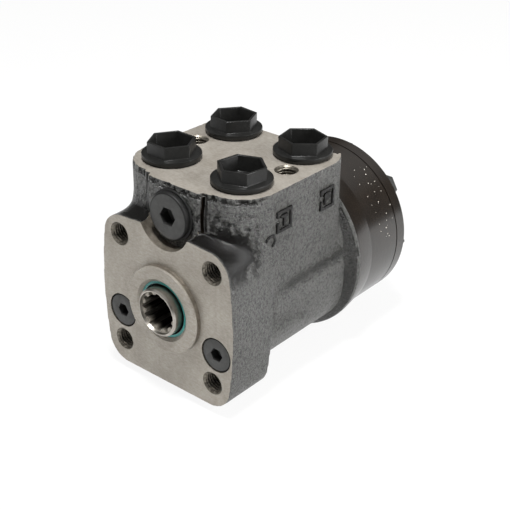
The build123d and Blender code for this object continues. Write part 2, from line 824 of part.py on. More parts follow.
# ---- relief valve -------------------------------------------------------------------------------------
relief_place = (0, relief_z)
relief_washer_front_y = pad_y - relief_washer_thickness
relief_plug_rear_y = pad_y + relief_thread_length
relief_cup_y = relief_plug_rear_y - relief_cup_depth
poppet_shoulder_y = relief_seat_y - poppet_nose_length - poppet_length

with BuildPart() as relief_plug:
    steps([relief_place], [(relief_head_y, relief_head_r, relief_washer_front_y)])
    chamfer(faces().sort_by(Axis.Y)[0].edges(), relief_head_edge)
    steps([relief_place], [(relief_washer_front_y, relief_thread_r, relief_plug_rear_y)])
    steps([relief_place], [(relief_cup_y, relief_cup_r, relief_plug_rear_y)], Mode.SUBTRACT)
    with BuildSketch(section(relief_head_y)):
        with Locations(relief_place):
            RegularPolygon(relief_socket_flats / 2, 6, major_radius=False)
    extrude(amount=-relief_socket_depth, mode=Mode.SUBTRACT)

with BuildPart() as relief_washer:
    steps([relief_place], [(relief_washer_front_y, relief_washer_r, pad_y)])
    steps([relief_place], [(relief_washer_front_y, relief_thread_r, pad_y)], Mode.SUBTRACT)

with BuildPart() as relief_seat:
    seat_rear_y = relief_seat_y + relief_seat_length
    steps([relief_place], [(relief_seat_y, relief_bore_r, seat_rear_y)])
    steps([relief_place], [(relief_seat_y, relief_seat_hole_r, seat_rear_y)], Mode.SUBTRACT)

with BuildPart() as relief_poppet:
    steps(
        [relief_place],
        [
            (poppet_shoulder_y - poppet_neck_length, poppet_neck_r, poppet_shoulder_y),
            (poppet_shoulder_y, poppet_r, poppet_shoulder_y + poppet_length),
        ],
    )
    with BuildSketch(section(poppet_shoulder_y + poppet_length)):
        with Locations(relief_place):
            Circle(poppet_r)
    with BuildSketch(section(relief_seat_y)):
        with Locations(relief_place):
            Circle(relief_seat_hole_r - running_fit)
    loft()

relief_spring_start = Vector(0, relief_cup_y + relief_spring_wire / 2, relief_z)
relief_spring_length = poppet_shoulder_y - relief_cup_y
relief_spring = coil(
    relief_spring_r, relief_spring_wire, relief_spring_turns, relief_spring_start, relief_spring_length, (0, 1, 0)
)

# ---- shock valves -------------------------------------------------------------------------------------
shock_plug_rear_y = shock_recess_depth + shock_thread_length
shock_cup_y = shock_plug_rear_y - shock_cup_depth
shock_ball_y = shock_seat_y - ((shock_ball_r + running_fit) ** 2 - shock_seat_hole_r**2) ** 0.5
shock_spring_end_y = shock_ball_y - (shock_ball_r**2 - (shock_spring_r - shock_spring_wire / 2) ** 2) ** 0.5
shock_pieces = {}

for side, place in shock_places.items():
    with BuildPart() as shock_plug:
        steps(
            [place],
            [
                (shock_head_y, shock_head_r, shock_recess_depth - shock_seal_wire),
                (shock_recess_depth - shock_seal_wire, shock_thread_r, shock_plug_rear_y),
            ],
        )
        steps([place], [(shock_cup_y, shock_cup_r, shock_plug_rear_y)], Mode.SUBTRACT)
        with BuildSketch(section(shock_head_y)):
            with Locations(place):
                RegularPolygon(shock_socket_flats / 2, 6, major_radius=False)
        extrude(amount=-shock_socket_depth, mode=Mode.SUBTRACT)

    with BuildPart() as shock_washer:
        washer_row = [(shock_recess_depth - shock_seal_wire, shock_head_r, shock_recess_depth)]
        bore_row = [(shock_recess_depth - shock_seal_wire, shock_thread_r, shock_recess_depth)]
        steps([place], washer_row)
        steps([place], bore_row, Mode.SUBTRACT)

    with BuildPart() as shock_seat:
        seat_end_y = shock_seat_y + shock_seat_length
        steps([place], [(shock_seat_y, shock_bore_r, seat_end_y)])
        steps([place], [(shock_seat_y, shock_seat_hole_r, seat_end_y)], Mode.SUBTRACT)

    with BuildPart() as shock_ball:
        with Locations((place[0], shock_ball_y, place[1])):
            Sphere(shock_ball_r)

    spring_start = Vector(place[0], shock_cup_y + shock_spring_wire / 2, place[1])
    shock_spring = coil(
        shock_spring_r,
        shock_spring_wire,
        shock_spring_turns,
        spring_start,
        shock_spring_end_y - shock_cup_y,
        (0, 1, 0),
    )
    shock_pieces[f"shock_plug_{side}"] = shock_plug
    shock_pieces[f"shock_washer_{side}"] = shock_washer
    shock_pieces[f"shock_seat_{side}"] = shock_seat
    shock_pieces[f"shock_ball_{side}"] = shock_ball
    shock_pieces[f"shock_spring_{side}"] = shock_spring

# ---- check valve --------------------------------------------------------------------------------------
with BuildPart() as check_bush:
    with BuildSketch(Plane.XY.offset(port_floor_z)):
        with Locations((check_x, check_y)):
            Circle(check_bore_r)
            Circle(check_bush_hole_r, mode=Mode.SUBTRACT)
    extrude(amount=-check_bush_length)

with BuildPart() as check_ball:
    with Locations((check_x, check_y, check_bore_floor_z + check_ball_r + running_fit)):
        Sphere(check_ball_r)


# ---- port caps ----------------------------------------------------------------------------------------
def port_cap(place, turn_angle):
    """Plastic transport plug: stem in the port, stepped flange on its face, open hexagon cup on top."""
    flange_z = port_face_z + cap_step_thickness
    cup_z = flange_z + cap_flange_thickness
    cup_corner_r = cap_hex_corner_r - cap_wall / cos(radians(30))
    with BuildPart() as cap:
        for base_z, radius, height in (
            (port_face_z, port_thread_r, -cap_stem_length),
            (port_face_z, cap_step_r, cap_step_thickness),
            (flange_z, cap_flange_r, cap_flange_thickness),
        ):
            with BuildSketch(Plane.XY.offset(base_z)):
                with Locations(place):
                    Circle(radius)
            extrude(amount=height)
        with BuildSketch(Plane.XY.offset(cup_z)):
            with Locations(place):
                RegularPolygon(cap_hex_corner_r, 6, rotation=turn_angle)
        extrude(amount=cap_hex_height)
        with BuildSketch(Plane.XY.offset(cup_z + cap_hex_height)):
            with Locations(place):
                RegularPolygon(cup_corner_r, 6, rotation=turn_angle)
        extrude(amount=port_face_z + cap_floor - cup_z - cap_hex_height, mode=Mode.SUBTRACT)
    return cap


cap_pieces = {
    f"port_cap_{corner}": port_cap(place, cap_turn_angles[corner]) for corner, place in port_places.items()
}

pieces = {
    "housing": housing,
    "dust_seal": dust_seal,
    "shaft_seal": shaft_seal,
    "bearing_race_front": bearing_race_front,
    "bearing_race_rear": bearing_race_rear,
    "needle_cage": needle_cage,
    "bearing_needles": bearing_needles,
    "control_spool": control_spool,
    "control_sleeve": control_sleeve,
    "spring_ring": spring_ring,
    "neutral_springs": neutral_springs,
    "cross_pin": cross_pin,
    "cardan_shaft": cardan_shaft,
    "cardan_spacer": cardan_spacer,
    "distributor_plate": distributor_plate,
    "gear_ring": gear_ring,
    "gear_rotor": gear_rotor,
    "end_cover": end_cover,
    "o_ring_housing": o_ring_housing,
    "o_ring_plate": o_ring_plate,
    "o_ring_cover": o_ring_cover,
    "cover_bolts": cover_bolts,
    "pin_bolt": pin_bolt,
    "bolt_washers": bolt_washers,
    "relief_plug": relief_plug,
    "relief_washer": relief_washer,
    "relief_seat": relief_seat,
    "relief_poppet": relief_poppet,
    "relief_spring": relief_spring,
    "check_bush": check_bush,
    "check_ball": check_ball,
    **shock_pieces,
    **cap_pieces,
}
for name, piece in pieces.items():
    piece.part.label = name
    export_step(piece.part, f"parts/{name}.step")
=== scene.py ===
import bpy
import bmesh
import json
import math
import numpy as np
from mathutils import Matrix, Vector, noise


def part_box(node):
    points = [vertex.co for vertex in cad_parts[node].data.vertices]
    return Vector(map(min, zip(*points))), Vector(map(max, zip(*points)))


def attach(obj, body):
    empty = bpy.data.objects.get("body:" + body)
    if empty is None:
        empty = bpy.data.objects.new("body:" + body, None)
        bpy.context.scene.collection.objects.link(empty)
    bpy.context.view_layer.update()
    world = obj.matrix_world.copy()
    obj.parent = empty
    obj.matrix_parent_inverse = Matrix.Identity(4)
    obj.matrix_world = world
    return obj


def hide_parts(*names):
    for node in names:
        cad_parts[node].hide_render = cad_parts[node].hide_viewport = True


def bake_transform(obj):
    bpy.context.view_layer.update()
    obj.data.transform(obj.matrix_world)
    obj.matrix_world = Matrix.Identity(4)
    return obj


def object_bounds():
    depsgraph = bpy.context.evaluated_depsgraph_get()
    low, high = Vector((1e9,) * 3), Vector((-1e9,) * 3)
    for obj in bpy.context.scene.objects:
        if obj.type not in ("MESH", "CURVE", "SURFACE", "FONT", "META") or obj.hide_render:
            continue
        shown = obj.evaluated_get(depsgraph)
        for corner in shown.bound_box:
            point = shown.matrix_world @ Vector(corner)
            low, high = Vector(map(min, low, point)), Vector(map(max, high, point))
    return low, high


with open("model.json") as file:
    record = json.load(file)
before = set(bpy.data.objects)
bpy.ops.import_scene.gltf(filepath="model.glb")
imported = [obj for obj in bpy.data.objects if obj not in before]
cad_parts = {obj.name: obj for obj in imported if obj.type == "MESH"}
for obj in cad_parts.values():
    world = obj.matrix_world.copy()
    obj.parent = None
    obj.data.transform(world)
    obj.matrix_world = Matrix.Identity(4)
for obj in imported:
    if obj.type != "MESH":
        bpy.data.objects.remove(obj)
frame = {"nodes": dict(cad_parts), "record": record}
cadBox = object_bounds()
mm = 0.001
weldGap = 0.002 * mm        # corners closer than this are one

# Everything is in metres in the part's own frame: the shaft axis is Y, the flange face is y = 0
# and looks along -Y, the port face looks along +Z.


# ---- helpers
def linear(hexColor):
    channels = [int(hexColor[i:i + 2], 16) / 255 for i in (1, 3, 5)]
    return [c / 12.92 if c <= 0.04045 else ((c + 0.055) / 1.055) ** 2.4 for c in channels] + [1.0]


def addNode(tree, kind, settings=None, links=None):
    node = tree.nodes.new(kind)
    for name, value in (settings or {}).items():
        if isinstance(name, int) or name in node.inputs:
            node.inputs[name].default_value = value
        else:
            setattr(node, name, value)
    for socket, source in (links or {}).items():
        tree.links.new(source, node.inputs[socket])
    return node


def newMaterial(name):
    material = bpy.data.materials.new(name)
    material.use_nodes = True
    tree = material.node_tree
    shader = tree.nodes["Principled BSDF"]
    place = addNode(tree, "ShaderNodeTexCoord").outputs["Object"]
    return material, tree, shader, place


def speckle(tree, place, size, detail=4.0, roughness=0.6):
    # noise with features about size across, in millimetres
    settings = {"Scale": 1000 / size, "Detail": detail, "Roughness": roughness}
    return addNode(tree, "ShaderNodeTexNoise", settings, {"Vector": place}).outputs["Fac"]


def stretched(tree, place, scale):
    node = addNode(tree, "ShaderNodeMapping", {}, {"Vector": place})
    node.inputs["Scale"].default_value = scale
    return node.outputs[0]


def ramp(tree, source, span, colors):
    # from the first colour at the start of span to the second at its end
    node = addNode(tree, "ShaderNodeValToRGB", links={"Fac": source})
    for element, position, color in zip(node.color_ramp.elements, span, colors):
        element.position = position
        element.color = linear(color)
    return node.outputs["Color"]


def largest(tree, values):
    result = values[0]
    for value in values[1:]:
        result = addNode(tree, "ShaderNodeMath", {"operation": "MAXIMUM"}, {0: result, 1: value}).outputs[0]
    return result


def bump(tree, shader, height, depth):
    # depth is the height of the relief in millimetres
    node = addNode(tree, "ShaderNodeBump", {"Strength": 1.0, "Distance": depth * mm}, {"Height": height})
    tree.links.new(node.outputs["Normal"], shader.inputs["Normal"])


def radiusNode(tree, place):
    # distance from the shaft axis
    flat = addNode(tree, "ShaderNodeVectorMath", {"operation": "MULTIPLY"}, {0: place})
    flat.inputs[1].default_value = (1, 0, 1)
    length = addNode(tree, "ShaderNodeVectorMath", {"operation": "LENGTH"}, {0: flat.outputs[0]})
    return length.outputs["Value"]


# ---- materials
def enamelledCastIron():
    # grey iron as it leaves the sand, under black gloss enamel: grainy relief and broken highlights, and a smooth
    # glossy pool of enamel in the hollows, where the pool attribute is 1, whose near-black colour is painted shade
    material, tree, shader, place = newMaterial("enamelledCastIron")
    poolAndShade = addNode(tree, "ShaderNodeAttribute", {"attribute_name": "poolAndShade"}).outputs["Fac"]

    def thinToPoolAndShade(thin, full):
        node = addNode(tree, "ShaderNodeMapRange", {"To Min": thin, "To Max": full}, {"Value": poolAndShade})
        return node.outputs["Result"]

    # thin enamel is worn to grey on the peaks of the grain, and dark in its pits
    color = ramp(tree, speckle(tree, place, 1.2, 7.0, 0.72), (0.4, 0.53), ("#1A1A19", "#656562"))
    mixed = addNode(tree, "ShaderNodeMix", {"data_type": "RGBA"}, {"Factor": poolAndShade, "A": color})
    # painted shade: near black where the pool attribute is 1, in the hollows and on faces that look up
    mixed.inputs["B"].default_value = linear("#0A0908")
    tree.links.new(mixed.outputs["Result"], shader.inputs["Base Color"])
    tree.links.new(thinToPoolAndShade(0.38, 0.15), shader.inputs["Roughness"])
    tree.links.new(thinToPoolAndShade(0.85, 0.25), shader.inputs["Specular IOR Level"])
    grain = speckle(tree, place, 1.25, 8.0, 0.66)
    height = addNode(tree, "ShaderNodeMath", {"operation": "MULTIPLY"}, {0: grain, 1: thinToPoolAndShade(1.0, 0.09)})
    bump(tree, shader, height.outputs[0], 4.2)
    return material


def faceMilledIron():
    # face-milled grey iron without paint: warm grey, faint cutter lines and brown oil stains
    material, tree, shader, place = newMaterial("faceMilledIron")
    streaks = speckle(tree, stretched(tree, place, (0.45, 1, 1)), 0.9, 6.0, 0.75)
    stains = speckle(tree, place, 16, 6.0, 0.65)
    color = ramp(tree, stains, (0.32, 0.7), ("#9B958C", "#B4AFA7"))
    fine = ramp(tree, streaks, (0.3, 0.7), ("#D2CFCA", "#FFFFFF"))
    mixed = addNode(tree, "ShaderNodeMix", {"data_type": "RGBA", "blend_type": "MULTIPLY", "Factor": 1.0},
                    {"A": color, "B": fine})
    tree.links.new(mixed.outputs["Result"], shader.inputs["Base Color"])
    shader.inputs["Metallic"].default_value = 0.4
    shader.inputs["Roughness"].default_value = 0.46
    bump(tree, shader, streaks, 0.05)
    return material


def splineSteel():
    # ground nose of the spool, and the oily hardened bore with the teeth inside it, painted darker with depth as shade
    material, tree, shader, place = newMaterial("groundSpoolSteel")
    radius = radiusNode(tree, place)
    depth = addNode(tree, "ShaderNodeSeparateXYZ", {}, {"Vector": place}).outputs["Y"]

    def spread(source, low, high, first=0.0, last=1.0):
        settings = {"From Min": low, "From Max": high, "To Min": first, "To Max": last}
        return addNode(tree, "ShaderNodeMapRange", settings, {"Value": source}).outputs["Result"]

    inside = spread(radius, 10.45 * mm, 10.2 * mm)
    outer = ramp(tree, speckle(tree, place, 4, 5.0), (0.3, 0.75), ("#99948C", "#C2BEB6"))
    # light reaches only the mouth, so the teeth darken with depth
    inner = ramp(tree, spread(depth, -6.0 * mm, -0.5 * mm), (0.0, 1.0), ("#A59F94", "#1C1915"))
    mixed = addNode(tree, "ShaderNodeMix", {"data_type": "RGBA"}, {"Factor": inside, "A": outer, "B": inner})
    tree.links.new(mixed.outputs["Result"], shader.inputs["Base Color"])
    tree.links.new(spread(inside, 0.0, 1.0, 1.0, 0.25), shader.inputs["Metallic"])
    shader.inputs["Roughness"].default_value = 0.3
    return material


def paintedBarrel():
    # turned rings under satin black paint: smooth, with fine turning lines and a brownish depth
    material, tree, shader, place = newMaterial("satinBlackPaint")
    rings = speckle(tree, stretched(tree, place, (0.05, 1.0, 0.05)), 1.4, 3.0)
    color = ramp(tree, speckle(tree, place, 12, 5.0), (0.3, 0.75), ("#140F0A", "#1D1711"))
    tree.links.new(color, shader.inputs["Base Color"])
    shader.inputs["Roughness"].default_value = 0.2
    shader.inputs["Specular IOR Level"].default_value = 1.0
    bump(tree, shader, rings, 0.04)
    return material


def lippedSealRubber():
    # teal moulded dust seal: its lip is painted dark as the shade of the shaft, a darker line painted as the shade of
    # a groove runs round its face, and it darkens again towards its outer edge
    material, tree, shader, place = newMaterial("tealSealRubber")
    across = addNode(tree, "ShaderNodeMapRange", {"From Min": 12.4 * mm, "From Max": 14.4 * mm},
                     {"Value": radiusNode(tree, place)})
    color = addNode(tree, "ShaderNodeValToRGB", {}, {"Fac": across.outputs["Result"]})
    shade, grooveShade, teal = "#0A1413", "#0A3A3B", "#2FA29C"
    stops = color.color_ramp.elements
    stops[0].color, stops[1].color = linear(shade), linear("#0B3B3C")
    for position, tint in ((0.3, shade), (0.42, teal), (0.6, "#1F8A86"), (0.68, grooveShade), (0.76, teal)):
        stops.new(position).color = linear(tint)
    tree.links.new(color.outputs["Color"], shader.inputs["Base Color"])
    shader.inputs["Roughness"].default_value = 0.4
    return material


def mottled(name, pattern, colors, roughness, metallic=0.0, specular=0.5, span=(0.3, 0.75), marks=None):
    # a surface in two close tones: pattern is the size of its speckles in millimetres, with their detail, and
    # marks adds what the tool or the mould left, with its depth last
    material, tree, shader, place = newMaterial(name)
    tree.links.new(ramp(tree, speckle(tree, place, *pattern), span, colors), shader.inputs["Base Color"])
    shader.inputs["Roughness"].default_value = roughness
    shader.inputs["Metallic"].default_value = metallic
    shader.inputs["Specular IOR Level"].default_value = specular
    if marks:
        bump(tree, shader, speckle(tree, place, *marks[:-1]), marks[-1])
    return material


finishes = {
    "casting": enamelledCastIron(),
    # ground alloy steel: bright, slightly warm
    "ground_steel": mottled("turnedSteel", (4, 5.0), ("#99948C", "#C2BEB6"), 0.3, metallic=1.0),
    # blackened screw plug steel: satin, dark neutral grey
    "black_steel": mottled("blackOxideSteel", (3, 5.0), ("#373736", "#454544"), 0.4, metallic=0.4,
                           marks=(1.2, 4.0, 0.05)),
    "barrel": paintedBarrel(),
    # black moulded polyethylene of the transport plugs: low gloss
    "cap_plastic": mottled("mouldedPolyethylene", (2.5, 4.0), ("#141413", "#1C1C1B"), 0.32, specular=0.3,
                           marks=(1.1, 3.0, 0.06)),
    "teal_seal": lippedSealRubber(),
    # moulded seal rubber: matt, slightly mottled
    "black_rubber": mottled("blackSealRubber", (1.5,), ("#141414", "#1F1F1E"), 0.5, specular=0.25),
    # stamped cage brass: bright and yellow
    "bronze": mottled("stampedBrass", (4, 5.0), ("#9C7C42", "#B8975A"), 0.3, metallic=1.0),
    # spring steel as it leaves the oil bath: darker than the ground steel
    "spring_steel": mottled("oilTemperedSteel", (4, 5.0), ("#6F6B64", "#8B877F"), 0.3, metallic=1.0),
}
milledIron, splinedSteel = faceMilledIron(), splineSteel()
# iron cut by a rotating tool, in the notch and round the spigot: darker, brownish, with tool marks
turnedIron = mottled("turnedIron", (2.5, 6.0, 0.7), ("#6B6358", "#948D82"), 0.4, metallic=0.7, span=(0.3, 0.72),
                     marks=(0.9, 5.0, 0.2))
# cut thread: dark oily flanks, bright crests
threadedIron = mottled("tappedIron", (1.2, 4.0), ("#4A463F", "#8E887D"), 0.38, metallic=0.8, span=(0.35, 0.7))
# pale primer that shows where the black paint has chipped
paintChip = mottled("whitePrimer", (1.0,), ("#B8B2A6", "#E6E2DA"), 0.6)
print("materials made")

# ---- pieces
slotOf = {part["node"]: part["material_slot"] for part in frame["record"]["subparts"]}
bodies = frame["record"]["behaviour"]["bodies"]
bodyOf = {node: body for body, nodes in bodies.items() for node in nodes}


def addPiece(name, mesh, node, stands=True):
    # a finished piece rides on the body of its construction node, and may stand for that node
    piece = bpy.data.objects.new(name, mesh)
    bpy.context.scene.collection.objects.link(piece)
    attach(piece, bodyOf[node])
    if stands:
        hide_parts(node)
    return piece


def plainCopy(node, mergeFlats=False):
    # the construction mesh with its corners welded, and on request with each flat as one face
    source = frame["nodes"][node].data
    plain = bpy.data.meshes.new("plain")
    plain.from_pydata([tuple(v.co) for v in source.vertices], [], [tuple(f.vertices) for f in source.polygons])
    work = bmesh.new()
    work.from_mesh(plain)
    bmesh.ops.remove_doubles(work, verts=work.verts, dist=weldGap)
    if mergeFlats:
        bmesh.ops.dissolve_limit(work, angle_limit=math.radians(1), verts=work.verts, edges=work.edges)
    work.to_mesh(plain)
    work.free()
    return plain


def frozen(holder, name):
    # the mesh that an object's modifiers make, as a plain mesh, and the object goes
    bpy.context.scene.collection.objects.link(holder)
    bpy.context.view_layer.update()
    result = bpy.data.meshes.new_from_object(holder.evaluated_get(bpy.context.evaluated_depsgraph_get()))
    bpy.data.objects.remove(holder)
    result.name = name
    return result


def evaluated(name, mesh, modifiers):
    holder = bpy.data.objects.new(name, mesh)
    for kind, settings in modifiers:
        modifier = holder.modifiers.new(kind.lower(), kind)
        for key, value in settings.items():
            setattr(modifier, key, value)
    return frozen(holder, name)


def remeshed(size):
    return "REMESH", {"mode": "VOXEL", "voxel_size": size * mm, "adaptivity": 0}


def lathe(profile, centre=(0, 0), steps=96):
    # closed solid turned about an axis along Y through centre (x, z), from (radius, y) points in millimetres
    work = bmesh.new()
    rings = []
    for radius, y in profile:
        if radius == 0:
            rings.append([work.verts.new((centre[0] * mm, y * mm, centre[1] * mm))])
            continue
        angles = [2 * math.pi * step / steps for step in range(steps)]
        rings.append([work.verts.new(((centre[0] + radius * math.cos(a)) * mm, y * mm,
                                      (centre[1] + radius * math.sin(a)) * mm)) for a in angles])
    for one, two in zip(rings, rings[1:] + rings[:1]):
        if len(one) == 1 and len(two) == 1:
            continue
        for step in range(steps):
            after = (step + 1) % steps
            corners = [one[step % len(one)], one[after % len(one)], two[after % len(two)], two[step % len(two)]]
            work.faces.new(list(dict.fromkeys(corners)))        # a ring on the axis is one corner
    bmesh.ops.recalc_face_normals(work, faces=work.faces)
    mesh = bpy.data.meshes.new("lathe")
    work.to_mesh(mesh)
    work.free()
    return mesh


def upright(mesh, place):
    # turns a lathe solid made along Y so that it runs down along Z, with its y = 0 at place
    mesh.transform(Matrix.Translation(Vector(place) * mm) @ Matrix.Rotation(math.radians(-90), 4, "X"))
    return mesh


def block(low, high):
    # box between two corners in millimetres
    work = bmesh.new()
    bmesh.ops.create_cube(work, size=1)
    for vertex in work.verts:
        vertex.co = Vector([(low[i] if vertex.co[i] < 0 else high[i]) * mm for i in range(3)])
    mesh = bpy.data.meshes.new("block")
    work.to_mesh(mesh)
    work.free()
    return mesh


def joined(meshes):
    work = bmesh.new()
    for mesh in meshes:
        work.from_mesh(mesh)
    result = bpy.data.meshes.new("joined")
    work.to_mesh(result)
    work.free()
    return result


def cut(mesh, cutter):
    tool = bpy.data.objects.new("cutter", cutter)
    bpy.context.scene.collection.objects.link(tool)
    settings = {"operation": "DIFFERENCE", "solver": "MANIFOLD", "object": tool}
    result = evaluated("cut", mesh, [("BOOLEAN", settings)])
    bpy.data.objects.remove(tool)
    return result


def outerShell(mesh):
    # drops the closed voids inside a solid, which nothing links to its farthest corner
    work = bmesh.new()
    work.from_mesh(mesh)
    work.verts.ensure_lookup_table()
    start = max(work.verts, key=lambda vertex: vertex.co.x)
    reached, edge = {start}, [start]
    while edge:
        vertex = edge.pop()
        for link in vertex.link_edges:
            other = link.other_vert(vertex)
            if other not in reached:
                reached.add(other)
                edge.append(other)
    bmesh.ops.delete(work, geom=[vertex for vertex in work.verts if vertex not in reached], context="VERTS")
    work.to_mesh(mesh)
    work.free()


def smoothStep(value, zero, one):
    # 0 at zero and 1 at one, in either direction, with a soft step between them
    if one < zero:
        return 1 - smoothStep(value, one, zero)
    share = np.clip((value - zero) / (one - zero), 0, 1)
    return share * share * (3 - 2 * share)


def within(region, **along):
    # a region is a list of soft steps: the coordinate, where the share is 0 and where it is 1
    share = 1.0
    for axis, zero, one in region:
        share = share * smoothStep(along[axis], zero, one)
    return share


def noiseAt(points, size):
    return np.array([noise.noise(Vector(point) / size) for point in points])


def addPoolAndShade(mesh, values):
    mesh.attributes.new("poolAndShade", "FLOAT", "POINT").data.foreach_set("value", values)


# ---- housing: the rough casting is made first, and then machined where the real one is
castingPlan = {
    "voxel": 0.85, "stock": 1.0,                      # stock is what the machining takes off
    "portFace": 61.0, "collarR": 46.58, "collarFront": 91.7,
    "studs": [(-29.15, -29.15), (29.15, -29.15), (-29.15, 29.15), (29.15, 29.15)],
    "faceHoles": [(-27.8, 53.0), (27.8, 53.0)],
    "ports": [(-21.66, 28.7), (21.66, 28.7), (-21.66, 73.1), (21.66, 73.1)],
    "shockValves": [(31.4, -12.75), (-29.4, -12.75)],
    "relief": [(0, 46.4)],
    "grooveX": 16.8, "grooveHalf": 0.75, "grooveY": (3, 11.5), "grooveZ": (42, 59.6),
}

# profiles are (radius, y) points in millimetres; for a hole in the port face y is the depth
fills = {
    "bore": [(0, -2.9), (21.8, -2.9), (21.8, 0.1), (23.5, 0.1), (23.5, 104.2), (0, 104.2)],
    "studs": [(0, 0.1), (6, 0.1), (6, 22), (0, 22)],
    "shockValves": [(0, 0.1), (9.2, 0.1), (9.2, 56), (0, 56)],
    "ports": [(0, 0.1), (11.5, 0.1), (11.5, 40), (0, 40)],
    "faceHoles": [(0, 0.1), (6, 0.1), (6, 20), (0, 20)],
    "relief": [(0, 6.6), (9.5, 6.6), (9.5, 74), (0, 74)],
    "collarCone": [(0, 50), (43.5, 89), (43.5, 104.2), (0, 104.2)],
    "padRoot": ((-17, 0.1, 26), (17, 12, 39.9)),
}
cuts = {
    "flangeFace": [(0, -12), (90, -12), (90, 0), (22.15, 0), (22.15, -2.3), (21.45, -3), (0, -3)],
    "portFace": ((-60, -20, castingPlan["portFace"]), (60, 120, 75)),
    "collar": [(castingPlan["collarR"], 84), (70, 84), (70, 116), (0, 116), (0, 104.3), (44.8, 104.3), (46.45, 93),
               (46.45, castingPlan["collarFront"]), (castingPlan["collarR"], castingPlan["collarFront"])],
    "bore": [(0, -9), (16.3, -9), (16.3, -3.2), (15.9, -3), (14.3, -1.5), (14.3, 1.6), (13, 1.6), (13, 2.6),
             (15.6, 2.6), (15.6, 6), (13, 6), (13, 7), (18, 7), (18, 103), (0, 103)],
    "studs": [(0, -2), (5.9, -2), (5.9, 0), (4.95, 0.9), (4.95, 18), (0, 19)],
    "shockValves": [(0, -2), (8.85, -2), (8.85, 0), (8.7, 0.15), (8.7, 4), (5.8, 4), (5.8, 13.3), (0, 13.3)],
    "ports": [(0, -5), (10.8, -5), (10.8, 0), (10.4, 0.4), (10.4, 19), (0, 19)],
    "faceHoles": [(0, -5), (5.7, -5), (5.7, 0), (4.95, 0.7), (4.95, 16), (0, 17)],
    "relief": [(0, -5), (15.8, -5), (15.8, 6.5), (8.2, 6.5), (8.2, 18.8), (0, 18.8)],
}


def frontHoles(profiles, kind, steps=96):
    return [lathe(profiles[kind], centre, steps) for centre in castingPlan[kind]]


def portHoles(profiles, kind, steps=96):
    return [upright(lathe(profiles[kind], steps=steps), (x, y, castingPlan["portFace"]))
            for x, y in castingPlan[kind]]


def rawCasting():
    plugs = [lathe(fills["bore"])] + frontHoles(fills, "studs") + frontHoles(fills, "shockValves")
    plugs += portHoles(fills, "ports") + portHoles(fills, "faceHoles") + frontHoles(fills, "relief")
    plugs += [lathe(fills["collarCone"]), block(*fills["padRoot"])]
    mesh = evaluated("rawCasting", joined([plainCopy("housing")] + plugs), [remeshed(castingPlan["voxel"])])
    outerShell(mesh)
    return mesh


weatherPlan = {
    "softPasses": 2, "valleyPasses": 70, "valleyRounds": 4, "ledgePasses": 14, "pull": 0.6,
    "grainSize": 3.2, "grainDepth": 0.05, "fineSize": 0.4, "fineShare": 0.6, "grainLevel": 0.9,
    "chipSize": 2.0, "chipDepth": 0.7, "chipMost": 0.65,      # torn edge round the port face, coarsest in front
    "bodyR": 42.9, "bodyTaper": 2.2, "bodyProud": 3,
    "poolShadeRise": 27.5, "poolShadeSlope": 0.2,                       # the edge of the pool and its painted shade on the flange's inner corner
}
# x is the distance from the middle; start is that before any softening; up is how far the skin looks up, and
# rear how far it looks back; a torn or frayed coordinate has grain added
regions = {
    "valley": [("y", 1.5, 4), ("y", 34, 28), ("z", 22, 27), ("z", 57, 50), ("start", 13, 16)],
    "ledge": [("y", 28, 34), ("z", -4, 3), ("z", 22, 14)],
    "body": [("y", 29, 33), ("z", 10.5, 5), ("z", -34, -20), ("x", 36, 38.5)],
    "rimTop": [("z", 58.6, 59.8)], "rimFront": [("y", 30, 16)], "chips": [("ragged", -0.05, 0.45)],
    # the pool regions mark where the enamel pools and where shade is painted near black
    "valleyPoolShade": [("up", -0.1, 0.25), ("y", 0, 1.5), ("yFrayed", 27, 19), ("z", 20, 28), ("z", 56, 50)],
    "cornerPoolShade": [("slope", -1.5, 1.5), ("z", 44, 40), ("yTorn", 20, 14), ("start", 28, 31), ("y", 0, 1.5)],
    "rimPoolShade": [("z", 57.2, 58.6), ("y", 28, 20), ("ragged", -0.25, 0.1)],
    "padPoolShade": [("x", 15.6, 16.4), ("x", 19.4, 18.2), ("z", 41, 44), ("y", 15, 12)],
    "shelfPoolShade": [("zTorn", 5, 9), ("zTorn", 15, 10), ("y", 30, 44), ("x", 37, 39)],
    "collarPoolShade": [("rear", 0.2, 0.5), ("y", 77, 83)],
}


def softenCasting(mesh, points, facing):
    # points move in place; the valley behind the flange fills up, and the ledge over the round body rounds off
    plan = weatherPlan
    count = len(points)
    ends = np.empty(len(mesh.edges) * 2, dtype=int)
    mesh.edges.foreach_get("vertices", ends)
    first, second = ends.reshape(-1, 2).T
    valence = np.bincount(first, minlength=count) + np.bincount(second, minlength=count)

    def soften(share, passes, outward=None):
        # with outward, only hollows fill up, and edges stay
        for _ in range(passes):
            total = np.stack([np.bincount(first, points[second, axis], count)
                              + np.bincount(second, points[first, axis], count) for axis in range(3)], axis=1)
            step = plan["pull"] * (total / valence[:, None] - points)
            if outward is not None:
                step = outward * np.clip((step * outward).sum(axis=1), 0, None)[:, None]
            points[:] += share[:, None] * step

    along = {"start": np.abs(points[:, 0]), "y": points[:, 1], "z": points[:, 2]}
    valley, ledge = within(regions["valley"], **along), within(regions["ledge"], **along)
    soften(np.ones(count), plan["softPasses"])
    soften(ledge, plan["ledgePasses"])
    for _ in range(plan["valleyRounds"]):
        soften(valley, plan["valleyPasses"], facing())
    soften(valley, plan["ledgePasses"])


def swellBody(points):
    # below the block's wall the round body stands a little proud, more towards the collar
    plan = weatherPlan
    x, y, z = np.abs(points[:, 0]), points[:, 1], points[:, 2]
    radius = plan["bodyR"] - plan["bodyTaper"] * smoothStep(y, 78, 34)
    proud = np.clip(np.sqrt(np.clip(radius ** 2 - z ** 2, 0, None)) - x, 0, plan["bodyProud"])
    points[:, 0] += np.sign(points[:, 0]) * proud * within(regions["body"], x=x, y=y, z=z)


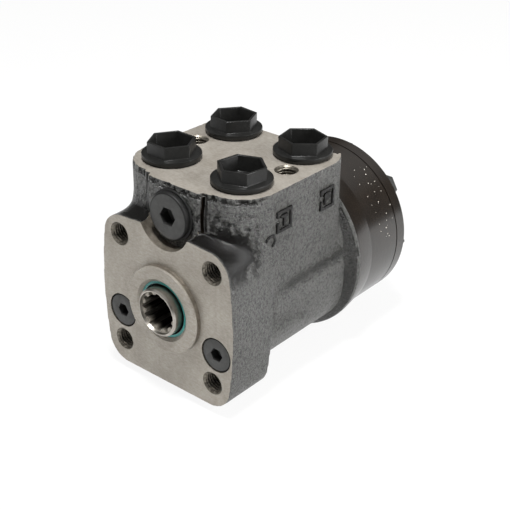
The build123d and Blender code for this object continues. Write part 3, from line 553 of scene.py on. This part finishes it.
def chipRim(points, normals, ragged):
    plan = weatherPlan
    along = {"y": points[:, 1], "z": points[:, 2], "ragged": ragged}
    coarse = 1 - plan["chipMost"] + plan["chipMost"] * within(regions["rimFront"], **along)
    rim = within(regions["rimTop"], **along) * coarse
    depth = plan["chipDepth"] * rim * within(regions["chips"], **along)
    points[:, :2] -= normals[:, :2] * depth[:, None]


def enamelPoolAndShade(points, normals, grain, ragged, start):
    # enamel pools, with shade painted into it as near-black colour, in the valley behind the flange and on the inner
    # corner of the flange, where its edge frays;
    # the pool and its painted shade also lie under the rim, beside the relief valve's pad, over the round body and
    # before the collar
    plan = weatherPlan
    y, z = points[:, 1], points[:, 2]
    along = {
        "x": np.abs(points[:, 0]), "start": start, "y": y, "z": z, "ragged": ragged,
        "up": normals[:, 2] + 0.25 * grain, "rear": -normals[:, 1],
        "yFrayed": y + 3 * grain, "yTorn": y + 2 * grain, "zTorn": z + grain,
        "slope": z - plan["poolShadeRise"] - plan["poolShadeSlope"] * y,
    }
    # painted shade: the valley's faces that look up, and the faces named below, get the near-black pool colour
    poolShadeShare = within(regions["valleyPoolShade"], **along)
    for name, most in (("cornerPoolShade", 1), ("rimPoolShade", 1), ("padPoolShade", 1), ("shelfPoolShade", 0.75), ("collarPoolShade", 0.8)):
        poolShadeShare = np.maximum(poolShadeShare, most * within(regions[name], **along))
    return poolShadeShare


def addStock(points):
    # metal for the cuts: on the flange face and spigot, the port face, the rear face and the turned collar
    stock = castingPlan["stock"]
    spigotR, faceY, rootY, noseY, rimR = 22.8, 0.8, -0.6, -2.2, 20.5
    radius = np.hypot(points[:, 0], points[:, 2])
    points[(points[:, 1] < faceY) & (radius > spigotR), 1] -= stock
    points[points[:, 2] > castingPlan["portFace"] - 1, 2] += stock
    spigot = (points[:, 1] < rootY) & (radius < spigotR)
    points[spigot & (points[:, 1] < noseY), 1] -= stock
    for axis in (0, 2):
        points[spigot & (radius > rimR), axis] *= 1.05
    points[points[:, 1] > 103.4, 1] += stock
    turned = (points[:, 1] > 91.0) & (radius > 40)
    swell = 1 + stock / radius
    for axis in (0, 2):
        points[turned, axis] *= swell[turned]


def weatherCasting(mesh):
    plan = weatherPlan
    points = np.empty(len(mesh.vertices) * 3)
    mesh.vertices.foreach_get("co", points)
    points = points.reshape(-1, 3) / mm
    start = np.abs(points[:, 0])

    def facing():
        mesh.vertices.foreach_set("co", (points * mm).ravel())
        mesh.update()
        normals = np.empty(points.size)
        mesh.vertices.foreach_get("normal", normals)
        return normals.reshape(-1, 3)

    softenCasting(mesh, points, facing)
    normals = facing()
    grain = noiseAt(points, plan["grainSize"])
    grain = grain + plan["fineShare"] * noiseAt(points, plan["fineSize"] * plan["grainSize"])
    points += normals * (plan["grainDepth"] * (grain - plan["grainLevel"]))[:, None]
    swellBody(points)
    ragged = noiseAt(points, plan["chipSize"])
    chipRim(points, normals, ragged)
    poolShadeShare = enamelPoolAndShade(points, normals, grain, ragged, start)
    addStock(points)
    mesh.vertices.foreach_set("co", (points * mm).ravel())
    addPoolAndShade(mesh, poolShadeShare)
    mesh.update()


def machineCasting(mesh):
    plan = castingPlan
    mesh = cut(mesh, lathe(cuts["flangeFace"], steps=160))
    mesh = cut(mesh, block(*cuts["portFace"]))
    mesh = cut(mesh, lathe(cuts["collar"], steps=192))
    tools = [lathe(cuts["bore"])] + frontHoles(cuts, "studs", 48) + frontHoles(cuts, "shockValves", 64)
    tools += portHoles(cuts, "ports", 64) + portHoles(cuts, "faceHoles", 48) + frontHoles(cuts, "relief")
    mesh = cut(mesh, joined(tools))
    # groove that parts the relief valve's pad from the rib beside it
    low, high = zip((plan["grooveX"] - plan["grooveHalf"], plan["grooveX"] + plan["grooveHalf"]),
                    plan["grooveY"], plan["grooveZ"])
    return cut(mesh, block(low, high))


def castingSurface(center, normal):
    # which of the casting's materials a face has: enamel, milled, turned, threaded or black, from 0 to 4
    enamel, milled, turned, threaded, black = range(5)
    plan = castingPlan
    x, y, z = center / mm
    radius = math.hypot(x, z)
    relief = math.hypot(x, z - plan["relief"][0][1])
    inGroove = (abs(x - plan["grooveX"]) < plan["grooveHalf"] + 0.02 and y < plan["grooveY"][1] + 0.02
                and z > plan["grooveZ"][0] - 0.1)
    if y < 0.02 and normal.y < -0.5 or z > plan["portFace"] - 0.02 and normal.z > 0.9:
        return milled
    if y < 0.02 or radius < 18.1 or 15.2 < relief < 15.9 and y < 6.49 or relief < 8.3 and y < 20:
        return turned
    if inGroove and abs(normal.x) + normal.z > 0.9:
        return black
    for kind, reach in (("studs", 6), ("shockValves", 9)):
        if y < 20 and any(math.hypot(x - hx, z - hz) < reach for hx, hz in plan[kind]):
            return threaded
    for kind, reach in (("faceHoles", 6), ("ports", 10.9)):
        if z > 40 and any(math.hypot(x - hx, y - hy) < reach for hx, hy in plan[kind]):
            return threaded
    if y > plan["collarFront"] + 0.05 and radius > 43 and normal.z < 0.98:
        return black
    return enamel


def dressCasting(mesh):
    mesh.materials.clear()
    for material in (finishes["casting"], milledIron, turnedIron, threadedIron, finishes["barrel"]):
        mesh.materials.append(material)
    for face in mesh.polygons:
        face.material_index = castingSurface(face.center, face.normal)
    mesh.shade_smooth()
    mesh.set_sharp_from_angle(angle=math.radians(38))


def makeHousing():
    mesh = rawCasting()
    print("raw casting faces:", len(mesh.polygons))
    weatherCasting(mesh)
    mesh = machineCasting(mesh)
    dressCasting(mesh)
    print("machined casting faces:", len(mesh.polygons))
    return addPiece("machinedCasting", mesh, "housing")


makeHousing()

# cast marks on the right wall, as the foundry raises them beside the tank and pump ports
markPlan = {
    "wall": 40.16, "rise": 0.8, "root": 0.7, "voxel": 0.28,
    "tank": (36.2, 46.0), "pump": (68.45, 45.4),          # middle of each frame, y and z
    # bars of each mark, as y and z from the frame's middle; the frame is open at its front
    "frameBars": [(-5.4, 3.9, 5.4, 5.4), (-5.4, -5.4, 5.4, -3.9), (3.9, -5.4, 5.4, 5.4), (-5.4, -5.4, -3.9, -0.4),
                  (-5.4, 2.0, -3.9, 5.4)],
    "tankBars": [(-2.6, 1.4, 2.4, 2.9), (-0.75, -3.0, 0.75, 2.0)],
    "pumpBars": [(-2.4, -3.0, -0.9, 3.0), (-2.4, 1.5, 2.4, 3.0), (0.9, -0.2, 2.4, 3.0), (-2.4, -0.6, 2.4, 0.9)],
    "grain": 0.22, "grainSize": 0.9,
}
# a run of metal below the front mark, which follows the block's round corner
runPlan = {
    "beads": 9, "centre": (27.5, 38.0), "radius": 2.7, "start": -60, "turn": 27, "half": 0.75, "in": 0.9, "out": 0.4,
    "cornerR": 18.5,
}


def runBlocks():
    plan = runPlan
    cornerX, cornerY = castingPlan["ports"][1]
    half = plan["half"]
    for bead in range(plan["beads"]):
        angle = math.radians(plan["start"] + plan["turn"] * bead)
        y = plan["centre"][0] + plan["radius"] * math.cos(angle)
        z = plan["centre"][1] + plan["radius"] * math.sin(angle)
        x = cornerX + math.sqrt(max(plan["cornerR"] ** 2 - max(cornerY - y, 0) ** 2, 0))
        yield block((x - plan["in"], y - half, z - half), (x + plan["out"], y + half, z + half))


def castMarks():
    plan = markPlan
    blocks = []
    for mark in ("tank", "pump"):
        y, z = plan[mark]
        for y0, z0, y1, z1 in plan["frameBars"] + plan[mark + "Bars"]:
            blocks.append(block((plan["wall"] - plan["root"], y + y0, z + z0),
                                (plan["wall"] + plan["rise"], y + y1, z + z1)))
    mesh = evaluated("castMarks", joined(blocks + list(runBlocks())),
                     [remeshed(plan["voxel"]), ("SMOOTH", {"factor": 0.5, "iterations": 3})])
    grained = [Vector(v.co) + v.normal * plan["grain"] * mm * noise.noise(Vector(v.co) / (plan["grainSize"] * mm))
               for v in mesh.vertices]
    for vertex, place in zip(mesh.vertices, grained):
        vertex.co = place
    # painted shade: the whole marks take the near-black pool colour, for the shade round their raised edges
    addPoolAndShade(mesh, [1.0] * len(mesh.vertices))
    mesh.materials.append(finishes["casting"])
    mesh.shade_smooth()
    return addPiece("castMarks", mesh, "housing", stands=False)


castMarks()
print("cast marks raised")


# ---- plugs, caps and bolts: the construction shapes with their edges broken by this much, in millimetres
edgePlan = {
    "port_cap_front_left": 0.35, "port_cap_front_right": 0.35, "port_cap_rear_left": 0.35, "port_cap_rear_right": 0.35,
    "relief_plug": 0.3, "shock_plug_left": 0.2, "shock_plug_right": 0.2, "cover_bolts": 0.4, "pin_bolt": 0.4,
    "bolt_washers": 0.2, "relief_washer": 0.4,
}
groundFaces = {"nodes": ("relief_plug", "shock_plug_left", "shock_plug_right"), "leastArea": 0.5}


def softEdged(node, width):
    settings = {"width": width * mm, "segments": 2, "limit_method": "ANGLE", "angle_limit": math.radians(32)}
    mesh = evaluated(node + "Soft", plainCopy(node, mergeFlats=True), [("BEVEL", settings)])
    mesh.materials.clear()
    mesh.materials.append(finishes[slotOf[node]])
    if node in groundFaces["nodes"]:
        # only the face is ground and keeps the plug's finish; the rim and socket are made black rubber, darker, and in
        # the socket that black is painted shade
        mesh.materials.append(finishes["black_rubber"])
        for face in mesh.polygons:
            ground = face.normal.y < -0.9 and face.area > groundFaces["leastArea"] * mm ** 2
            face.material_index = 0 if ground else 1
    mesh.shade_smooth()
    mesh.set_sharp_from_angle(angle=math.radians(40))
    return addPiece(node + "Soft", mesh, node)


for node, width in edgePlan.items():
    softEdged(node, width)
print("edges broken:", len(edgePlan))


# ---- what repeats: threads, cap ribs and paint chips
def newTree(name, inputs, material):
    tree = bpy.data.node_groups.new(name, "GeometryNodeTree")
    tree.interface.new_socket("Geometry", in_out="INPUT", socket_type="NodeSocketGeometry")
    sockets = {}
    for title, value in inputs.items():
        kind = "NodeSocketInt" if isinstance(value, int) else "NodeSocketFloat"
        socket = tree.interface.new_socket(title, in_out="INPUT", socket_type=kind)
        sockets[title] = socket.identifier
    tree.interface.new_socket("Geometry", in_out="OUTPUT", socket_type="NodeSocketGeometry")
    start = tree.nodes.new("NodeGroupInput")
    realize = tree.nodes.new("GeometryNodeRealizeInstances")
    finish = addNode(tree, "GeometryNodeSetMaterial", {"Material": material})
    end = tree.nodes.new("NodeGroupOutput")
    tree.links.new(realize.outputs[0], finish.inputs["Geometry"])
    tree.links.new(finish.outputs[0], end.inputs[0])
    return tree, start, realize.inputs[0], sockets


def grown(name, base, tree, sockets, inputs):
    # what the tree grows on a base mesh, as a plain mesh
    holder = bpy.data.objects.new(name, base)
    modifier = holder.modifiers.new("grow", "NODES")
    modifier.node_group = tree
    for title, value in inputs.items():
        modifier[sockets[title]] = value
    return frozen(holder, name)


def pointMesh(points):
    mesh = bpy.data.meshes.new("points")
    mesh.from_pydata([tuple(Vector(p) * mm) for p in points], [], [])
    return mesh


threadPlan = {
    "Radius": 5.0 * mm, "Pitch": 1.5 * mm, "Turns": 10, "Ridge": 0.72 * mm, "Tilt": 0.0,
    "lead": 1.1,          # first ridge below the mouth
}


def threadTree(material):
    inputs = {key: threadPlan[key] for key in ("Radius", "Pitch", "Turns", "Ridge", "Tilt")}
    tree, start, finish, sockets = newTree("threadRidge", inputs, material)
    height = addNode(tree, "ShaderNodeMath", {"operation": "MULTIPLY"},
                     {0: start.outputs["Pitch"], 1: start.outputs["Turns"]})
    spiral = addNode(tree, "GeometryNodeCurveSpiral", {"Resolution": 36}, {
        "Rotations": start.outputs["Turns"], "Height": height.outputs[0],
        "Start Radius": start.outputs["Radius"], "End Radius": start.outputs["Radius"]})
    section = addNode(tree, "GeometryNodeCurvePrimitiveCircle", {"Resolution": 4}, {"Radius": start.outputs["Ridge"]})
    ridge = addNode(tree, "GeometryNodeCurveToMesh", {"Fill Caps": True},
                    {"Curve": spiral.outputs[0], "Profile Curve": section.outputs[0]})
    turn = addNode(tree, "ShaderNodeCombineXYZ", {}, {"X": start.outputs["Tilt"]})
    place = addNode(tree, "GeometryNodeInstanceOnPoints", {}, {
        "Points": start.outputs["Geometry"], "Instance": ridge.outputs[0], "Rotation": turn.outputs[0]})
    tree.links.new(place.outputs[0], finish)
    return tree, sockets


threads, threadSockets = threadTree(threadedIron)
flangeMouths = [(x, threadPlan["lead"], z) for x, z in castingPlan["studs"]]
faceMouths = [(x, y, castingPlan["portFace"] - threadPlan["lead"]) for x, y in castingPlan["faceHoles"]]
for name, mouths, tilt in (("flangeThreads", flangeMouths, -90), ("portFaceThreads", faceMouths, 180)):
    settings = {key: threadPlan[key] for key in ("Radius", "Pitch", "Turns", "Ridge")}
    settings["Tilt"] = math.radians(tilt)
    addPiece(name, grown(name, pointMesh(mouths), threads, threadSockets, settings), "housing", stands=False)
print("threads cut")

chipPlan = {
    "Seed": 7, "Density": 60000.0, "Size": 0.28 * mm, "least": 0.3, "most": 1.3,
    "radius": 44.51, "yRange": (112.0, 126.5), "angleRange": (8, 62), "steps": 24,     # strip of the barrel
}


def chipTree(material):
    inputs = {key: chipPlan[key] for key in ("Seed", "Density", "Size")}
    tree, start, finish, sockets = newTree("paintChips", inputs, material)
    spread = addNode(tree, "GeometryNodeDistributePointsOnFaces", {}, {
        "Mesh": start.outputs["Geometry"], "Density": start.outputs["Density"], "Seed": start.outputs["Seed"]})
    chip = addNode(tree, "GeometryNodeMeshIcoSphere", {"Subdivisions": 1}, {"Radius": start.outputs["Size"]})
    sizes = addNode(tree, "FunctionNodeRandomValue", {"data_type": "FLOAT"}, {"Seed": start.outputs["Seed"]})
    sizes.inputs[2].default_value = chipPlan["least"]
    sizes.inputs[3].default_value = chipPlan["most"]
    place = addNode(tree, "GeometryNodeInstanceOnPoints", {}, {
        "Points": spread.outputs["Points"], "Instance": chip.outputs[0], "Scale": sizes.outputs[1]})
    tree.links.new(place.outputs[0], finish)
    return tree, sockets


def barrelStrip():
    # angles are degrees from +X, and the chips have their middles just under the paint
    steps, (low, high), (start, end) = chipPlan["steps"], chipPlan["yRange"], chipPlan["angleRange"]
    points = []
    for step in range(steps + 1):
        angle = math.radians(start + step * (end - start) / steps)
        x, z = chipPlan["radius"] * math.cos(angle), chipPlan["radius"] * math.sin(angle)
        points += [(x * mm, low * mm, z * mm), (x * mm, high * mm, z * mm)]
    mesh = bpy.data.meshes.new("barrelStrip")
    mesh.from_pydata(points, [], [(2 * step, 2 * step + 1, 2 * step + 3, 2 * step + 2) for step in range(steps)])
    return mesh


chips, chipSockets = chipTree(paintChip)
chipSettings = {key: chipPlan[key] for key in ("Seed", "Density", "Size")}
addPiece("paintChips", grown("paintChips", barrelStrip(), chips, chipSockets, chipSettings), "gear_ring", stands=False)
print("paint chips placed")

ribPlan = {
    "Length": 9.0 * mm, "Width": 0.9 * mm, "Rise": 1.1 * mm, "Gap": 4.2 * mm,
    "middleZ": 62.8, "turns": (12, 68, 40, -25),        # one turn for each cap, in degrees
}


def ribTree(material):
    inputs = {key: ribPlan[key] for key in ("Length", "Width", "Rise", "Gap")}
    tree, start, finish, sockets = newTree("capRibs", inputs, material)
    size = addNode(tree, "ShaderNodeCombineXYZ", {}, {
        "X": start.outputs["Length"], "Y": start.outputs["Width"], "Z": start.outputs["Rise"]})
    bar = addNode(tree, "GeometryNodeMeshCube", {}, {"Size": size.outputs[0]})
    step = addNode(tree, "ShaderNodeCombineXYZ", {}, {"Y": start.outputs["Gap"]})
    back = addNode(tree, "ShaderNodeVectorMath", {"operation": "SCALE", "Scale": -1.0}, {0: step.outputs[0]})
    row = addNode(tree, "GeometryNodeMeshLine", {"Count": 3},
                  {"Start Location": back.outputs[0], "Offset": step.outputs[0]})
    bars = addNode(tree, "GeometryNodeInstanceOnPoints", {}, {"Points": row.outputs[0], "Instance": bar.outputs[0]})
    turn = addNode(tree, "GeometryNodeInputNamedAttribute", {"data_type": "FLOAT", "Name": "turn"})
    about = addNode(tree, "ShaderNodeCombineXYZ", {}, {"Z": turn.outputs[0]})
    place = addNode(tree, "GeometryNodeInstanceOnPoints", {}, {
        "Points": start.outputs["Geometry"], "Instance": bars.outputs[0], "Rotation": about.outputs[0]})
    tree.links.new(place.outputs[0], finish)
    return tree, sockets


ribs, ribSockets = ribTree(finishes["cap_plastic"])
ribBase = pointMesh([(x, y, ribPlan["middleZ"]) for x, y in castingPlan["ports"]])
ribTurn = ribBase.attributes.new("turn", "FLOAT", "POINT")
ribTurn.data.foreach_set("value", [math.radians(angle) for angle in ribPlan["turns"]])
ribSettings = {key: ribPlan[key] for key in ("Length", "Width", "Rise", "Gap")}
ribMesh = grown("capFloorRibs", ribBase, ribs, ribSockets, ribSettings)
addPiece("capFloorRibs", ribMesh, "port_cap_front_left", stands=False)
print("cap ribs placed")

# ---- springs: the coils are copied as they are, and the leaf pack is cut into two halves
coilPlan = {
    "relief_spring": "relief_poppet_body", "shock_spring_left": "shock_ball_left_body",
    "shock_spring_right": "shock_ball_right_body",
}
# millimetres from the shaft axis: where the leaves leave the spool and enter the sleeve, and the cuts between
leafPlan = {"cuts": 13, "step": 1.6, "inSpool": 6.0, "inSleeve": 15.0}


def addSpring(name, mesh, node):
    mesh.materials.clear()
    mesh.materials.append(finishes[slotOf[node]])
    spring = bpy.data.objects.new(name, mesh)
    bpy.context.scene.collection.objects.link(spring)
    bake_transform(spring)
    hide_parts(node)


def leafHalf(side):
    # one end of the leaf pack, cut across often enough to bend
    work = bmesh.new()
    work.from_mesh(frame["nodes"]["neutral_springs"].data)
    bmesh.ops.remove_doubles(work, verts=work.verts, dist=weldGap)

    def cutAcross(x, **options):
        everything = work.verts[:] + work.edges[:] + work.faces[:]
        return bmesh.ops.bisect_plane(work, geom=everything, plane_co=(x, 0, 0), plane_no=(side, 0, 0), **options)

    found = cutAcross(0, clear_inner=True)["geom_cut"]
    bmesh.ops.holes_fill(work, edges=[item for item in found if isinstance(item, bmesh.types.BMEdge)])
    for step in range(1, leafPlan["cuts"] + 1):
        cutAcross(side * step * leafPlan["step"] * mm)
    mesh = bpy.data.meshes.new("leafHalf")
    work.to_mesh(mesh)
    work.free()
    return mesh


for node, body in coilPlan.items():
    low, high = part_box(node)
    addSpring(node + "Coil", frame["nodes"][node].data.copy(), node)
for side, sideName in ((-1, "Left"), (1, "Right")):
    addSpring("neutralSprings" + sideName, leafHalf(side), "neutral_springs")

# ---- nodes whose shape is right keep it, and get their finish
shown = set(edgePlan) | set(coilPlan) | {"housing", "neutral_springs"}
for node, slotName in slotOf.items():
    if node in shown:
        continue
    for slot in frame["nodes"][node].material_slots:
        slot.link = "OBJECT"
        slot.material = splinedSteel if node == "control_spool" else finishes[slotName]

# ---- floor, light and camera
stagePlan = {
    "floorSize": 6.0, "floorColor": "#F4F4F2", "floorGlow": 0.9,
    "skyTop": 0.4, "skyBand": 0.06, "skyLow": 0.6,        # strength overhead, in the dark band, and low down
    "skySteps": ((0.1, "skyLow"), (0.3, "skyBand"), (0.55, "skyBand"), (0.72, "skyTop")),
    "skyFrom": -0.3,                                      # the direction's z at which the steps begin
}


def makeFloor():
    # paper that is as bright as the backdrop where the lens and reflections see it, and keeps the shadow
    plan = stagePlan
    bpy.ops.mesh.primitive_plane_add(size=plan["floorSize"], location=(0, 0, cadBox[0].z))
    floor = bpy.context.object
    floor.name = "floor"
    material, tree, shader = newMaterial("paperSweep")[:3]
    shader.inputs["Base Color"].default_value = linear(plan["floorColor"])
    shader.inputs["Roughness"].default_value = 1.0
    glow = addNode(tree, "ShaderNodeEmission", {"Color": (1, 1, 1, 1), "Strength": 1.0})
    path = addNode(tree, "ShaderNodeLightPath")
    seen = largest(tree, [path.outputs[ray] for ray in ("Is Camera Ray", "Is Glossy Ray", "Is Transmission Ray")])
    share = addNode(tree, "ShaderNodeMath", {"operation": "MULTIPLY", 1: plan["floorGlow"]}, {0: seen})
    mixed = addNode(tree, "ShaderNodeMixShader", {}, {0: share.outputs[0], 1: shader.outputs[0], 2: glow.outputs[0]})
    tree.links.new(mixed.outputs[0], tree.nodes["Material Output"].inputs["Surface"])
    floor.data.materials.append(material)


def makeStudio():
    # a dark room over a bright floor line, and white where the camera looks past the object
    plan = stagePlan
    world = bpy.data.worlds.new("studio")
    bpy.context.scene.world = world
    world.use_nodes = True
    tree = world.node_tree
    direction = addNode(tree, "ShaderNodeTexCoord").outputs["Generated"]
    sides = addNode(tree, "ShaderNodeSeparateXYZ", {}, {"Vector": direction})
    height = addNode(tree, "ShaderNodeMapRange", {"From Min": plan["skyFrom"], "From Max": 1.0},
                     {"Value": sides.outputs["Z"]})
    sky = addNode(tree, "ShaderNodeValToRGB", {}, {"Fac": height.outputs["Result"]})
    stops = sky.color_ramp.elements
    for stop, strength in ((stops[0], "skyLow"), (stops[-1], "skyTop")):
        stop.color = [plan[strength]] * 3 + [1]
    for position, strength in plan["skySteps"]:
        stops.new(position).color = [plan[strength]] * 3 + [1]
    camera = addNode(tree, "ShaderNodeLightPath").outputs["Is Camera Ray"]
    background = tree.nodes["Background"]
    tree.links.new(largest(tree, [sky.outputs["Color"], camera]), background.inputs["Strength"])
    background.inputs["Color"].default_value = (1, 1, 1, 1)


lamps = {
    "rightPanel": {"place": (0.85, 0.35, 0.42), "size": 0.5, "power": 9.5, "aim": (0, 0.06, 0)},
    "leftPanel": {"place": (-0.7, -0.8, 0.5), "size": 0.5, "power": 0.8, "aim": (0, 0.05, 0)},
    "keyPanel": {"place": (0.1, -0.13, 0.95), "size": 0.16, "power": 12.0, "aim": (0, 0.06, 0)},
}


def hangLamp(name, plan):
    data = bpy.data.lights.new(name, "AREA")
    data.size = plan["size"]
    data.energy = plan["power"]
    lamp = bpy.data.objects.new(name, data)
    lamp.location = plan["place"]
    lamp.rotation_euler = (Vector(plan["aim"]) - Vector(plan["place"])).to_track_quat("-Z", "Y").to_euler()
    bpy.context.scene.collection.objects.link(lamp)


cameraPlan = {
    "azimuth": 39.566, "elevation": 28.196, "roll": 0.861,      # degrees
    "distance": 492.88, "right": 41.717, "up": 24.809,          # millimetres, from the frame's origin
    "lens": 74.45, "sensor": 36,
}


def placeCamera():
    plan = cameraPlan
    azimuth, elevation, roll = (math.radians(plan[angle]) for angle in ("azimuth", "elevation", "roll"))
    back = Vector((math.sin(azimuth) * math.cos(elevation), -math.cos(azimuth) * math.cos(elevation),
                   math.sin(elevation)))
    level = Vector((math.cos(azimuth), math.sin(azimuth), 0))
    steep = back.cross(level)
    right = math.cos(roll) * level + math.sin(roll) * steep
    up = math.cos(roll) * steep - math.sin(roll) * level
    data = bpy.data.cameras.new("camera")
    data.lens = plan["lens"]
    data.sensor_width = plan["sensor"]
    camera = bpy.data.objects.new("camera", data)
    bpy.context.scene.collection.objects.link(camera)
    turn = Matrix((right, up, back)).transposed().to_4x4()
    place = (back * plan["distance"] + right * plan["right"] + up * plan["up"]) * mm
    camera.matrix_world = Matrix.Translation(place) @ turn
    bpy.context.scene.camera = camera


makeFloor()
makeStudio()
for name, plan in lamps.items():
    hangLamp(name, plan)
placeCamera()
bpy.context.scene.view_settings.view_transform = "Standard"
print("stage, lamps and camera set")
